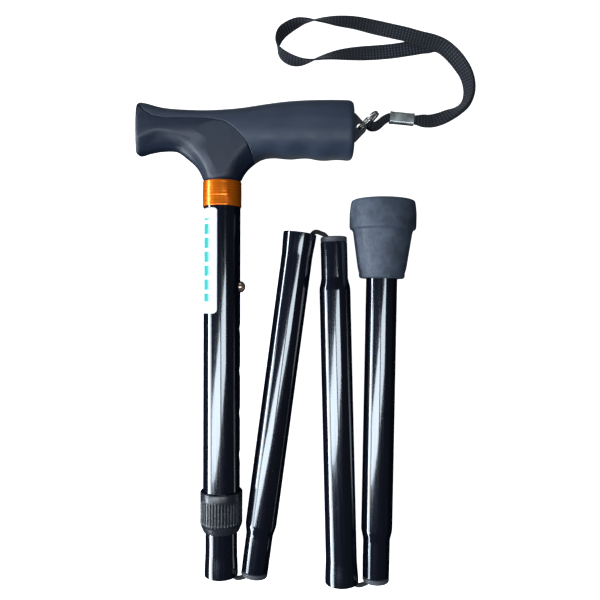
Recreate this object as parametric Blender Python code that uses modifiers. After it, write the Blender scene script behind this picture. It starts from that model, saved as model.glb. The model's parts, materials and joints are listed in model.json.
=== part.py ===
"""Folding, height-adjustable walking stick with a T grip, folded flat and lying on its side.

The axes of all four tube sections lie in one level plane. The height slide, the three folds,
the three push-together seats, the snap button, the locking nut and the strap ring can move.
"""

import math

import bmesh
import bpy
import numpy as np
from mathutils import Matrix, Vector

MM = 0.001
TURN = 2 * math.pi

# Layout of the folded stick, seen from above: X right, Y towards the grip, Z up.
STICK_X = -31.8 * MM
MOUTH_1_Y = -138.2 * MM
AXIS_HEIGHT = 20.0 * MM
SECTION_2_END = Vector((-12.1 * MM, -138.8 * MM))
SECTION_3_END = Vector((35.1 * MM, 64.3 * MM))
SECTION_4_END = Vector((60.8 * MM, -141.8 * MM))
SECTION_2_LEAN = math.radians(7.5)
SECTION_3_LEAN = math.radians(178.5)
SECTION_4_LEAN = math.radians(1.0)
SECTION_LENGTH = 207.0 * MM
SECTION_4_LENGTH = 227.7 * MM

# Tubes
GAP = 0.3 * MM
UPPER_TUBE_R = 11.0 * MM
UPPER_TUBE_BORE_R = 9.8 * MM
UPPER_TUBE_TOP_Y = 96.6 * MM
UPPER_TUBE_BOTTOM_Y = -100.0 * MM
INNER_TUBE_R = 9.45 * MM
INNER_TUBE_LENGTH = 198.0 * MM
SECTION_R = 9.3 * MM
WALL = 1.1 * MM
SWAGE_R = 8.0 * MM
SWAGE_LENGTH = 24.0 * MM
SHOULDER_LENGTH = 8.0 * MM
MOUTH_R = 10.0 * MM
MOUTH_BORE_R = 9.2 * MM
MOUTH_FLARE = 16.0 * MM
SEAT_GAP = 2.0 * MM
PLUG_FLANGE = 3.0 * MM
PLUG_LIP_R = 6.3 * MM
PLUG_BORE_R = 4.4 * MM

# Height adjustment
HOLE_PITCH = 25.4 * MM
HOLE_COUNT = 5
TOP_HOLE_Y = 34.2 * MM
HOLE_R = 3.8 * MM
BUTTON_R = 3.4 * MM
BUTTON_REACH = 14.0 * MM

# Collar, locking nut and label
COLLAR_R = 11.6 * MM
COLLAR_BORE_R = 11.2 * MM
COLLAR_TOP_Y = 96.8 * MM
COLLAR_LENGTH = 15.0 * MM
NUT_R = 12.6 * MM
NUT_TOP_Y = -87.6 * MM
NUT_LENGTH = 24.0 * MM
NUT_RIBS = 40
LABEL_TOP_Y = 80.4 * MM
LABEL_LENGTH = 62.0 * MM

# Elastic cord
CORD_R = 1.5 * MM
CORD_CLEAR = 1.85 * MM
LOOP_DEPTH = 14.0 * MM
CORD_STOP = 46.0 * MM
LAST_CORD_STOP = 52.0 * MM
UPPER_ANCHOR_TOP = 140.0 * MM
UPPER_ANCHOR_LENGTH = 8.0 * MM
LOWER_ANCHOR_FROM_SOLE = 26.0 * MM
LOWER_ANCHOR_LENGTH = 6.0 * MM
LOWER_ANCHOR_R = 7.9 * MM
LOWER_CORD_TAIL = 2.0 * MM
KNOT_AWAY = 3.5 * MM

# Rubber tip
TIP_R = 20.0 * MM
TIP_HEAD = 17.2 * MM
TIP_LENGTH = 46.5 * MM
TIP_NECK_R = 13.6 * MM
TIP_SHOULDER_R = 17.7 * MM
TIP_SOLE = 7.0 * MM
WASHER = 1.2 * MM
SECTION_4_TUBE = SECTION_4_LENGTH - TIP_SOLE - WASHER - 3 * GAP

# Grip
NECK_R = 11.7 * MM
STEM_R = 9.4 * MM
STEM_BOTTOM_Y = 66.0 * MM
PIN_Y = 89.5 * MM
PIN_R = 1.6 * MM

# Strap lug, split ring and strap
LUG_HOLE = Vector((50.9 * MM, 130.3 * MM))
LUG_HOLE_R = 2.2 * MM
LUG_THICKNESS = 2.4 * MM
RING_R = 7.4 * MM
RING_WIRE_R = 0.6 * MM
RING_DROP = 3.3 * MM
RING_HEADING = math.radians(38.0)
RING_TURNS = 2
RING_PITCH = 1.3 * MM
STRAP_WIDTH = 9.4 * MM
STRAP_THICKNESS = 1.1 * MM
STRAP_LAYER = 0.8 * MM
STRAP_GATHER_AWAY = (8.0 * MM, 12.0 * MM, 26.0 * MM)
STRAP_GATHER_WIDTH = (5.3 * MM, 7.5 * MM, STRAP_WIDTH)
STRAP_EYE_WIDTH = 5.0 * MM
CRIMP_CENTRE = Vector((78.2 * MM, 139.75 * MM, 4.7 * MM))
CRIMP_LENGTH = 15.2 * MM
CRIMP_HEADING = math.radians(-5.5)

TURN_STEPS = 40
FINE_STEPS = 28

# Grip bar, from the nose to the strap end: X, lowest Y, highest Y and half depth, in millimetres.
BAR = (
    (-82.4, 112.1, 144.7, 12.6),
    (-77.2, 114.0, 143.6, 13.0),
    (-65.8, 115.7, 141.2, 13.4),
    (-56.3, 115.4, 140.3, 14.0),
    (-41.3, 114.3, 139.8, 15.0),
    (-24.8, 112.8, 141.2, 16.0),
    (-5.3, 111.2, 143.6, 16.7),
    (8.2, 110.4, 145.1, 17.0),
    (17.3, 111.0, 145.7, 17.0),
    (26.9, 109.7, 146.0, 17.0),
    (35.9, 110.0, 146.1, 16.9),
    (45.5, 109.4, 146.0, 16.4),
)
BAR_ENDS = ((-2.1, -1.6), (-1.3, -0.6), (1.3, -0.6), (2.1, -1.6))
BAR_FULLNESS = 2.7

# Neck of the grip, from the collar up into the bar: Y, left X, right X and half depth, in millimetres.
NECK = (
    (97.1, -43.5, -20.1, 11.7),
    (99.0, -43.8, -19.7, 11.8),
    (101.7, -45.0, -18.2, 12.2),
    (106.3, -48.1, -14.1, 13.2),
    (109.8, -52.4, -9.2, 14.0),
    (112.6, -56.5, -4.5, 14.4),
    (116.0, -59.0, -2.5, 14.4),
    (122.0, -57.0, -7.0, 13.6),
)

# Parting line between the soft cover and the hard core, in millimetres.
PARTING = (
    (-82.7, 142.8),
    (-78.7, 137.2),
    (-73.3, 133.9),
    (-64.9, 132.5),
    (-38.5, 131.8),
    (-28.9, 129.8),
    (-22.1, 124.9),
    (-15.9, 118.0),
    (-13.1, 111.2),
)

# Wrist strap, in millimetres. The eye and the tail have X, Y, Z and the heading of the webbing's
# width in degrees; it stays level there. The runs have X, Y, Z and roll in degrees: 0 is flat, 90 on
# edge and 180 turned over. The double run has two layers on one line.
STRAP_EYE = (
    (77.8, 139.8, 3.9, 96),
    (70.0, 140.4, 4.0, 98),
    (67.0, 138.6, 4.6, 120),
    (64.0, 135.7, 5.9, 124),
    (60.9, 133.6, 6.7, 107),
    (58.4, 133.7, 7.1, 72),
    (56.9, 135.0, 7.2, 48),
    (55.3, 136.4, 7.9, 48),
    (54.5, 137.1, 9.9, 48),
    (55.3, 136.4, 11.9, 48),
    (56.9, 135.0, 12.6, 48),
    (58.4, 133.7, 12.4, 72),
    (60.9, 133.6, 11.3, 107),
    (64.0, 135.7, 9.1, 124),
    (67.0, 138.6, 6.6, 120),
    (70.0, 140.4, 5.5, 98),
    (77.8, 139.8, 5.5, 96),
)
STRAP_TAIL = (79.4, 139.7, 3.9, 96)
STRAP_DOUBLE = (
    (86.4, 139.0, 4.7, 0),
    (91.2, 138.7, 4.0, -6),
    (96.5, 138.7, 3.4, -15),
    (102.5, 140.0, 4.2, -30),
    (108.1, 142.3, 5.0, -42),
    (112.9, 144.5, 5.9, -58),
    (116.7, 147.5, 6.3, -66),
    (119.1, 151.9, 6.3, -68),
    (120.0, 157.0, 6.2, -65),
    (119.4, 163.0, 6.0, -60),
    (117.7, 168.1, 5.8, -55),
    (115.0, 173.0, 5.2, -45),
    (111.4, 178.1, 4.6, -36),
    (107.4, 182.6, 3.8, -25),
    (103.4, 185.9, 3.0, -15),
)
STRAP_LOOP = (
    (97.7, 188.4, 3.3, -8),
    (89.4, 190.9, 2.8, 0),
    (81.5, 193.3, 2.5, 0),
    (72.8, 195.4, 2.2, 0),
    (62.2, 198.2, 1.2, 0),
    (48.1, 201.0, 1.8, 12),
    (37.1, 201.5, 3.1, 28),
    (30.4, 201.4, 4.3, 45),
    (23.8, 200.9, 5.3, 65),
    (17.7, 200.3, 5.8, 88),
    (12.9, 199.1, 5.6, 108),
    (8.1, 196.9, 5.1, 120),
    (3.6, 193.6, 4.9, 124),
    (1.2, 189.0, 5.4, 112),
    (0.8, 184.0, 5.8, 92),
    (3.0, 180.0, 5.6, 72),
    (6.3, 177.4, 5.3, 64),
    (10.3, 175.6, 5.4, 66),
    (15.3, 174.7, 5.7, 80),
    (20.0, 175.2, 5.8, 98),
    (24.3, 176.4, 5.4, 112),
    (30.4, 178.2, 4.7, 128),
    (37.0, 179.7, 3.7, 145),
    (43.7, 180.8, 2.5, 160),
    (52.6, 181.8, 1.2, 175),
    (62.3, 182.5, 0.8, 180),
    (73.0, 183.5, 0.8, 180),
    (84.7, 185.3, 0.8, 182),
    (93.2, 186.6, 0.9, 184),
)


# ---------------------------------------------------------------- scene and helpers


def clear_scene():
    for obj in list(bpy.data.objects):
        bpy.data.objects.remove(obj)


def new_collection(name):
    collection = bpy.data.collections.new(name)
    bpy.context.scene.collection.children.link(collection)
    return collection


def material(name, colour, roughness, metallic=0.0):
    found = bpy.data.materials.get(name)
    if found:
        return found
    made = bpy.data.materials.new(name)
    made.use_nodes = True
    shader = made.node_tree.nodes["Principled BSDF"]
    shader.inputs["Base Color"].default_value = (*colour, 1.0)
    shader.inputs["Roughness"].default_value = roughness
    shader.inputs["Metallic"].default_value = metallic
    return made


def add_object(name, data, collection, look=None, parent=None):
    obj = bpy.data.objects.new(name, data)
    collection.objects.link(obj)
    if look:
        data.materials.append(look)
    obj.parent = parent
    return obj


def axis_frame(name, place, heading=0.0, parent=None):
    """An empty at a place in the axis plane whose own Z points along the heading, clockwise from +Y."""
    empty = bpy.data.objects.new(name, None)
    PARTS.objects.link(empty)
    empty.location = (place[0], place[1], AXIS_HEIGHT)
    empty.rotation_euler = (-math.pi / 2, 0.0, -heading)
    if parent:
        empty.parent = parent
        empty.matrix_parent_inverse = parent_world(parent).inverted()
    return empty


def fold_axis(name, place, parent=None):
    """An empty on a fold's axis, which is upright."""
    empty = bpy.data.objects.new(name, None)
    PARTS.objects.link(empty)
    empty.location = (place[0], place[1], AXIS_HEIGHT)
    if parent:
        empty.parent = parent
        empty.matrix_parent_inverse = parent_world(parent).inverted()
    return empty


def parent_world(obj):
    bpy.context.view_layer.update()
    return obj.matrix_world.copy()


def heading_vector(heading):
    return Vector((math.sin(heading), math.cos(heading)))


def smooth_values(knots, values, at):
    """Cubic curve through the knots, read at the places asked for."""
    knots = np.asarray(knots, float)
    values = np.asarray(values, float)
    at = np.asarray(at, float)
    slopes = np.gradient(values, knots, axis=0)
    left = np.clip(np.searchsorted(knots, at, side="right") - 1, 0, len(knots) - 2)
    span = knots[left + 1] - knots[left]
    t = (at - knots[left]) / span
    if values.ndim > 1:
        t, span = t[:, None], span[:, None]
    start = values[left] * (2 * t**3 - 3 * t**2 + 1) + slopes[left] * span * (t**3 - 2 * t**2 + t)
    end = values[left + 1] * (3 * t**2 - 2 * t**3) + slopes[left + 1] * span * (t**3 - t**2)
    return start + end


def smooth_line(route, step):
    """Points at most one step apart on a smooth curve through the route's points."""
    route = np.asarray(route, float)
    lengths = np.linalg.norm(np.diff(route[:, :3], axis=0), axis=1)
    along = np.concatenate([[0.0], np.cumsum(lengths)])
    at = [0.0]
    for low, high in zip(along, along[1:]):
        at.extend(np.linspace(low, high, math.ceil((high - low) / step) + 1)[1:])
    return smooth_values(along, route, at)


def turned(name, profile, look, parent, steps=TURN_STEPS, closed=True, collection=None):
    """Solid of revolution about the parent's Z. The profile runs down its outer side."""
    mesh = bpy.data.meshes.new(name)
    count = len(profile)
    edges = [(i, i + 1) for i in range(count - 1)]
    if closed:
        edges.append((count - 1, 0))
    mesh.from_pydata([(r, 0.0, z) for r, z in profile], edges, [])
    obj = add_object(name, mesh, collection or PARTS, look, parent)
    screw = obj.modifiers.new("Turn", "SCREW")
    screw.axis = "Z"
    screw.angle = TURN
    screw.steps = steps
    screw.render_steps = steps
    screw.use_merge_vertices = True
    screw.merge_threshold = 0.00001
    screw.use_smooth_shade = True
    return obj


def loft(name, rings, look, parent=None, collection=None):
    """Closed body through rings of equal point count, with flat ends."""
    mesh = bpy.data.meshes.new(name)
    shell = bmesh.new()
    loops = [[shell.verts.new(p) for p in ring] for ring in rings]
    count = len(loops[0])
    for low, high in zip(loops, loops[1:]):
        for i in range(count):
            j = (i + 1) % count
            shell.faces.new((low[i], low[j], high[j], high[i]))
    shell.faces.new(loops[0][::-1])
    shell.faces.new(loops[-1])
    bmesh.ops.recalc_face_normals(shell, faces=shell.faces)
    shell.to_mesh(mesh)
    shell.free()
    mesh.shade_smooth()
    mesh.set_sharp_from_angle(angle=math.radians(40))
    return add_object(name, mesh, collection or PARTS, look, parent)


def curve_mesh(curve_obj):
    """A curve turned into a closed mesh object of the same name and place."""
    bpy.context.view_layer.update()
    evaluated = curve_obj.evaluated_get(bpy.context.evaluated_depsgraph_get())
    mesh = bpy.data.meshes.new_from_object(evaluated)
    shell = bmesh.new()
    shell.from_mesh(mesh)
    bmesh.ops.remove_doubles(shell, verts=shell.verts, dist=0.000005)
    bmesh.ops.recalc_face_normals(shell, faces=shell.faces)
    shell.to_mesh(mesh)
    shell.free()
    name = curve_obj.name
    world = curve_obj.matrix_world.copy()
    collection = curve_obj.users_collection[0]
    curve = curve_obj.data
    bpy.data.objects.remove(curve_obj)
    bpy.data.curves.remove(curve)
    obj = bpy.data.objects.new(name, mesh)
    collection.objects.link(obj)
    obj.matrix_world = world
    return obj


def outline_curve(name, outlines, thickness, look, collection):
    """A flat plate in the XY plane, centred on Z 0, from closed outlines; inner ones are holes."""
    curve = bpy.data.curves.new(name, "CURVE")
    curve.dimensions = "2D"
    curve.fill_mode = "BOTH"
    curve.extrude = thickness / 2
    for outline in outlines:
        spline = curve.splines.new("POLY")
        spline.points.add(len(outline) - 1)
        for point, (x, y) in zip(spline.points, outline):
            point.co = (x, y, 0.0, 1.0)
        spline.use_cyclic_u = True
    return add_object(name, curve, collection, look)


def plate(name, outlines, thickness, height, look=None, collection=None):
    """The flat plate as a closed mesh, centred on a height."""
    flat = outline_curve(name, outlines, thickness, look, collection or PARTS)
    flat.location = (0.0, 0.0, height)
    return curve_mesh(flat)


def tube_curve(name, points, radius, look, resolution=2):
    """A round cord or wire along the points, with filled ends."""
    curve = bpy.data.curves.new(name, "CURVE")
    curve.dimensions = "3D"
    curve.bevel_depth = radius
    curve.bevel_resolution = resolution
    curve.use_fill_caps = True
    spline = curve.splines.new("POLY")
    spline.points.add(len(points) - 1)
    for point, co in zip(spline.points, points):
        point.co = (*co, 1.0)
    return add_object(name, curve, PARTS, look)


def arc(cx, cy, r, start, end, count):
    angles = np.radians(np.linspace(start, end, count))
    return [(cx + r * math.cos(a), cy + r * math.sin(a)) for a in angles]


def cutter(obj):
    obj.hide_render = True
    obj.display_type = "WIRE"
    return obj


def boolean(obj, operation, other):
    step = obj.modifiers.new(operation.title(), "BOOLEAN")
    step.operation = operation
    step.solver = "EXACT"
    step.object = other


def round_bar(name, start, end, radius, vertices=24):
    """A cylinder cutter between two points."""
    start, end = Vector(start), Vector(end)
    bm = bmesh.new()
    bmesh.ops.create_cone(
        bm,
        cap_ends=True,
        segments=vertices,
        radius1=radius,
        radius2=radius,
        depth=(end - start).length,
    )
    mesh = bpy.data.meshes.new(name)
    bm.to_mesh(mesh)
    bm.free()
    obj = add_object(name, mesh, CUTTERS)
    turn = (end - start).to_track_quat("Z", "Y").to_matrix().to_4x4()
    obj.matrix_world = Matrix.Translation((start + end) / 2) @ turn
    return cutter(obj)


# ---------------------------------------------------------------- tube sections


def fold_pivot(end, seat, turn):
    """Centre of the turn (counter-clockwise, radians) that carries the point end to the point seat."""
    half = (seat - end) / 2
    return (seat + end) / 2 + Vector((-half.y, half.x)) / math.tan(turn / 2)


def flare(z_from, z_to, r_from, r_to, count=5):
    """Points of a soft S between two radii, without the first."""
    steps = [i / count for i in range(1, count + 1)]
    ease = [t * t * (3 - 2 * t) for t in steps]
    return [(r_from + (r_to - r_from) * e, z_from + (z_to - z_from) * t) for t, e in zip(steps, ease)]


def section_profile(length, mouth):
    """Tube from its open top end down to its swaged bottom end, and back up inside."""
    bore = SECTION_R - WALL
    bottom = PLUG_FLANGE + GAP
    shoulder = SWAGE_LENGTH + SHOULDER_LENGTH
    outer = [(SECTION_R, length)]
    inner = [(bore, length)]
    if mouth:
        outer = [(MOUTH_R, length)] + flare(length, length - MOUTH_FLARE, MOUTH_R, SECTION_R)
        inner = flare(length - MOUTH_FLARE, length, bore, MOUTH_BORE_R)
        inner.insert(0, (bore, length - MOUTH_FLARE))
    outer += [(SECTION_R, shoulder)] + flare(shoulder, SWAGE_LENGTH, SECTION_R, SWAGE_R, 4)
    outer.append((SWAGE_R, bottom))
    swage = [(SWAGE_R - WALL, bottom), (SWAGE_R - WALL, SWAGE_LENGTH)]
    swage += flare(SWAGE_LENGTH, shoulder, SWAGE_R - WALL, bore, 4)
    return outer + swage + inner


def section_tube(number, length, frame, mouth=True):
    look = material(f"section_{number}_black", (0.012, 0.012, 0.016), 0.18, 0.6)
    return turned(f"section_tube_{number}", section_profile(length, mouth), look, frame)


def end_plug(number, frame):
    """Plastic ring in the swaged end: a flange with a round lip and a stem inside the tube."""
    stem_r = SWAGE_R - WALL - GAP
    profile = [
        (stem_r, 12.0 * MM),
        (stem_r, PLUG_FLANGE),
        (SWAGE_R, PLUG_FLANGE),
        (SWAGE_R, 1.0 * MM),
        (SWAGE_R - 0.3 * MM, 0.3 * MM),
        (SWAGE_R - 0.9 * MM, 0.0),
        (PLUG_LIP_R + 0.4 * MM, 0.0),
        (PLUG_LIP_R, 0.4 * MM),
        (PLUG_BORE_R + 0.3 * MM, 6.0 * MM),
        (PLUG_BORE_R, 12.0 * MM),
    ]
    look = material(f"end_plug_{number}_grey", (0.06, 0.065, 0.08), 0.5)
    return turned(f"end_plug_{number}", profile, look, frame)


def cord_run(number, low, high, frame):
    """Straight run of the elastic cord on the frame's axis."""
    profile = [(0.0, high), (CORD_R, high), (CORD_R, low), (0.0, low)]
    look = material(f"elastic_{number}_black", (0.01, 0.01, 0.012), 0.8)
    return turned(f"elastic_cord_{number}", profile, look, frame, 12, closed=False)


def cord_loop(number, mouth, mouth_heading, end, end_heading, parent):
    """The bend of the elastic cord at a fold, over the mouth's lip and into the next section's plug.

    Both headings point away from the stretch inside its tube, out of the opening.
    """
    out_a = heading_vector(mouth_heading)
    across_a = across(out_a, end - mouth)
    out_b = heading_vector(end_heading)
    across_b = across(out_b, mouth - end)
    lip_a = (MOUTH_R + MOUTH_BORE_R) / 2
    lip_b = (SWAGE_R + PLUG_LIP_R) / 2
    half_b = (SWAGE_R - PLUG_LIP_R) / 2
    from_mouth = [
        (0.0, -LOOP_DEPTH),
        (1.2 * MM, -10.0 * MM),
        (4.2 * MM, -5.5 * MM),
        (6.6 * MM, -2.2 * MM),
        (lip_a - CORD_CLEAR - 0.45 * MM, 0.0),
        (lip_a - CORD_CLEAR * 0.8, CORD_CLEAR * 0.85),
        (lip_a, CORD_CLEAR + 0.35 * MM),
    ]
    from_end = [
        (0.0, -LOOP_DEPTH),
        (0.3 * MM, -10.0 * MM),
        (1.4 * MM, -6.0 * MM),
        (3.2 * MM, -2.0 * MM),
        (lip_b - half_b - CORD_CLEAR * 0.95, 0.4 * MM),
        (lip_b - half_b - CORD_CLEAR * 0.2, CORD_CLEAR * 0.95),
        (lip_b, CORD_CLEAR + 0.35 * MM),
    ]
    route = [mouth + across_a * a + out_a * o for a, o in from_mouth]
    route += [end + across_b * a + out_b * o for a, o in reversed(from_end)]
    flat = smooth_line([(p.x, p.y, 0.0) for p in route], CORD_R)
    points = [(x, y, AXIS_HEIGHT) for x, y, _ in flat]
    look = material(f"elastic_loop_{number}_black", (0.01, 0.01, 0.012), 0.8)
    loop = tube_curve(f"elastic_loop_{number}", points, CORD_R, look)
    loop.parent = parent
    loop.matrix_parent_inverse = parent_world(parent).inverted()
    return loop


def turn_left(vector):
    return Vector((-vector.y, vector.x))


def across(out, target):
    """The direction square to out that points towards the target."""
    left = turn_left(out)
    return left if left.dot(target) > 0 else -left


# ---------------------------------------------------------------- upper section


def upper_tube(frame):
    """Outer tube with five height holes on its right side and a hole for the grip's pin."""
    top, bottom = UPPER_TUBE_TOP_Y, UPPER_TUBE_BOTTOM_Y
    profile = [
        (UPPER_TUBE_R, top),
        (UPPER_TUBE_R, bottom),
        (UPPER_TUBE_BORE_R, bottom),
        (UPPER_TUBE_BORE_R, top),
    ]
    look = material("upper_tube_black", (0.012, 0.012, 0.016), 0.18, 0.6)
    tube = turned("upper_tube", profile, look, frame)
    for i in range(HOLE_COUNT):
        y = TOP_HOLE_Y - i * HOLE_PITCH
        start = (STICK_X + 5 * MM, y, AXIS_HEIGHT)
        end = (STICK_X + 15 * MM, y, AXIS_HEIGHT)
        boolean(tube, "DIFFERENCE", round_bar(f"height_hole_{i + 1}", start, end, HOLE_R, 20))
    boolean(tube, "DIFFERENCE", pin_cutter())
    return tube


def pin_cutter():
    found = bpy.data.objects.get("grip_pin_hole")
    if found:
        return found
    reach = 14 * MM
    low = (STICK_X, PIN_Y, AXIS_HEIGHT - reach)
    high = (STICK_X, PIN_Y, AXIS_HEIGHT + reach)
    return round_bar("grip_pin_hole", low, high, PIN_R + GAP, 16)


def handle_pin():
    """Cross pin that holds the grip's stem in the tube, covered by the collar."""
    frame = fold_axis("handle_pin_axis", (STICK_X, PIN_Y))
    half = COLLAR_BORE_R - 0.5 * MM
    profile = [(0.0, half), (PIN_R, half - 0.2 * MM), (PIN_R, -half + 0.2 * MM), (0.0, -half)]
    look = material("pin_steel", (0.5, 0.5, 0.52), 0.3, 1.0)
    return turned("handle_pin", profile, look, frame, 16, closed=False)


def collar_ring(frame):
    """Coloured metal band with rolled edges and two turned grooves."""
    top, bottom = COLLAR_TOP_Y, COLLAR_TOP_Y - COLLAR_LENGTH
    groove = 0.12 * MM
    profile = [(COLLAR_R - 0.1 * MM, top), (COLLAR_R, top - 0.4 * MM)]
    for y in (top - 7.6 * MM, top - 9.4 * MM):
        profile += [(COLLAR_R, y + 0.4 * MM), (COLLAR_R - groove, y), (COLLAR_R, y - 0.4 * MM)]
    profile += [(COLLAR_R, bottom + 0.4 * MM), (COLLAR_R - 0.1 * MM, bottom)]
    profile += [(COLLAR_BORE_R, bottom), (COLLAR_BORE_R, top)]
    look = material("collar_orange", (0.75, 0.2, 0.01), 0.3, 0.8)
    return turned("collar_ring", profile, look, frame)


def tube_label(frame):
    """Blank label wrapped round the left side of the upper tube."""
    mesh = bpy.data.meshes.new("tube_label")
    inner = UPPER_TUBE_R + 0.1 * MM
    start, sweep = math.radians(155), math.radians(107)
    side = (inner * math.cos(start), inner * math.sin(start))
    low = LABEL_TOP_Y - LABEL_LENGTH
    mesh.from_pydata([(*side, LABEL_TOP_Y), (*side, low)], [(0, 1)], [])
    look = material("label_white", (0.85, 0.87, 0.86), 0.35)
    label = add_object("tube_label", mesh, PARTS, look, frame)
    screw = label.modifiers.new("Wrap", "SCREW")
    screw.axis = "Z"
    screw.angle = sweep
    screw.steps = 12
    screw.render_steps = 12
    screw.merge_threshold = 0.00001
    screw.use_smooth_shade = True
    skin = label.modifiers.new("Paper", "SOLIDIFY")
    skin.thickness = 0.2 * MM
    skin.offset = 1.0
    return label


def tube_collet(frame):
    """Plastic bushing below the upper tube, inside the nut, that grips the inner tube."""
    top = UPPER_TUBE_BOTTOM_Y - GAP
    bottom = NUT_TOP_Y - NUT_LENGTH + 2.2 * MM
    profile = [
        (11.0 * MM, top),
        (11.0 * MM, bottom + 2.0 * MM),
        (10.5 * MM, bottom),
        (INNER_TUBE_R + 0.35 * MM, bottom),
        (INNER_TUBE_R + 0.35 * MM, top),
    ]
    look = material("collet_grey", (0.25, 0.25, 0.26), 0.5)
    return turned("tube_collet", profile, look, frame)


def locking_nut(frame):
    """Ribbed nut with a smooth rim above and a chamfer below."""
    top = NUT_TOP_Y
    bottom = top - NUT_LENGTH
    rib_top, rib_bottom = top - 4.8 * MM, top - 19.2 * MM
    valley = NUT_R - 0.5 * MM
    bore = 11.3 * MM
    profile = [
        (NUT_R - 0.5 * MM, top),
        (NUT_R, top - 0.7 * MM),
        (NUT_R, rib_top + 0.6 * MM),
        (valley, rib_top),
        (valley, rib_bottom),
        (NUT_R - 0.3 * MM, rib_bottom - 0.8 * MM),
        (10.9 * MM, bottom + 0.5 * MM),
        (10.6 * MM, bottom),
        (INNER_TUBE_R + 0.45 * MM, bottom),
        (INNER_TUBE_R + 0.45 * MM, bottom + 1.8 * MM),
        (bore, bottom + 1.8 * MM),
        (bore, top),
    ]
    look = material("nut_grey", (0.08, 0.085, 0.095), 0.4)
    nut = turned("locking_nut", profile, look, frame)
    ribs = rib_ring(rib_top - 0.6 * MM, rib_bottom + 0.2 * MM, valley - 0.3 * MM)
    boolean(nut, "UNION", ribs)
    return nut


def rib_ring(top, bottom, inner):
    """The nut's gripping ribs as one toothed ring round the stick's axis."""
    outer = []
    step = 360 / NUT_RIBS
    for i in range(NUT_RIBS):
        mid = i * step
        outer += arc(0, 0, NUT_R - 0.45 * MM, mid, mid + step * 0.18, 2)
        outer += arc(0, 0, NUT_R, mid + step * 0.38, mid + step * 0.8, 2)
    hole = arc(0, 0, inner, 0, 360 * 39 / 40, 40)
    ring = plate("nut_ribs", [outer, hole], top - bottom, 0.0, collection=CUTTERS)
    turn = Matrix.Rotation(-math.pi / 2, 4, "X")
    ring.matrix_world = Matrix.Translation((STICK_X, (top + bottom) / 2, AXIS_HEIGHT)) @ turn
    return cutter(ring)


# ---------------------------------------------------------------- inner tube


def inner_tube(frame):
    """Height tube: hole for the button near its top, flared mouth at its bottom."""
    top = INNER_TUBE_LENGTH
    bore = INNER_TUBE_R - WALL
    outer = [(INNER_TUBE_R, top), (INNER_TUBE_R, MOUTH_FLARE)]
    outer += flare(MOUTH_FLARE, 0.0, INNER_TUBE_R, MOUTH_R)
    inner = [(MOUTH_BORE_R, 0.0)] + flare(0.0, MOUTH_FLARE, MOUTH_BORE_R, bore) + [(bore, top)]
    look = material("inner_tube_black", (0.012, 0.012, 0.016), 0.18, 0.6)
    tube = turned("inner_tube", outer + inner, look, frame)
    start = (STICK_X + 5 * MM, TOP_HOLE_Y, AXIS_HEIGHT)
    end = (STICK_X + 15 * MM, TOP_HOLE_Y, AXIS_HEIGHT)
    boolean(tube, "DIFFERENCE", round_bar("button_hole", start, end, HOLE_R, 20))
    return tube


def guide_cap(frame):
    """Plastic cap in the inner tube's top end."""
    top = INNER_TUBE_LENGTH
    bore = INNER_TUBE_R - WALL
    profile = [
        (INNER_TUBE_R - 0.2 * MM, top + 2.3 * MM),
        (INNER_TUBE_R, top + 1.9 * MM),
        (INNER_TUBE_R, top + GAP),
        (bore - GAP, top + GAP),
        (bore - GAP, top - 8.0 * MM),
        (5.5 * MM, top - 8.0 * MM),
        (5.5 * MM, top + 2.3 * MM),
    ]
    look = material("guide_cap_grey", (0.2, 0.2, 0.21), 0.5)
    return turned("inner_guide_cap", profile, look, frame)


def snap_button(frame):
    """Domed pin with a flange that stays inside the inner tube."""
    reach = BUTTON_REACH
    dome = [
        (BUTTON_R * math.sin(a), reach - BUTTON_R * 0.8 * (1 - math.cos(a)))
        for a in np.radians(np.linspace(0, 90, 6))
    ]
    flange_r = 4.4 * MM
    profile = dome + [
        (BUTTON_R, 6.7 * MM),
        (flange_r, 6.7 * MM),
        (flange_r, 6.0 * MM),
        (0.0, 6.0 * MM),
    ]
    look = material("button_copper", (0.55, 0.3, 0.16), 0.3, 1.0)
    return turned("snap_button", profile, look, frame, 20, closed=False)


def button_spring(parent):
    """Hairpin leaf of spring steel that pushes the button out."""
    half = 0.25 * MM
    near, far = 5.4 * MM, -7.2 * MM
    low, bend = TOP_HOLE_Y - 7 * MM, TOP_HOLE_Y + 12 * MM
    radius = (near - far) / 2
    centre = (near + far) / 2
    line = [(near, low)] + arc(centre, bend, radius, 0, 180, 13) + [(far, low)]
    line = [(STICK_X + x, y) for x, y in line]
    outline = offset_line(line, half) + offset_line(line, -half)[::-1]
    look = material("spring_steel", (0.5, 0.5, 0.52), 0.35, 1.0)
    spring = plate("button_spring", [outline], 5.0 * MM, AXIS_HEIGHT, look)
    spring.parent = parent
    spring.matrix_parent_inverse = parent_world(parent).inverted()
    return spring


def offset_line(points, distance):
    """The open line moved sideways by a distance, to its left for a positive one."""
    p = np.asarray(points, float)
    run = np.gradient(p, axis=0)
    run /= np.linalg.norm(run, axis=1)[:, None]
    left = np.stack([-run[:, 1], run[:, 0]], axis=1)
    return [tuple(q) for q in p + left * distance]


def cord_anchor(name, low, high, radius, frame):
    """Plug across a tube that the elastic cord is knotted behind."""
    profile = [(radius, high), (radius, low), (2.3 * MM, low), (2.3 * MM, high)]
    look = material(f"{name}_white", (0.5, 0.5, 0.5), 0.5)
    return turned(name, profile, look, frame, FINE_STEPS)


def knotted_cord(name, knot_z, cord_end, frame, look):
    """Elastic cord that ends in a round knot. The knot and the cord are one turned body."""
    knot_r = 3.4 * MM
    away = 1 if cord_end < knot_z else -1
    angles = np.linspace(0, math.pi * 0.85, 9)
    shape = [(knot_r * math.sin(a), knot_z + away * knot_r * math.cos(a)) for a in angles]
    shape = shape + [(CORD_R, cord_end), (0.0, cord_end)]
    if away < 0:
        shape = shape[::-1]
    return turned(name, shape, look, frame, 16, closed=False)


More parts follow.
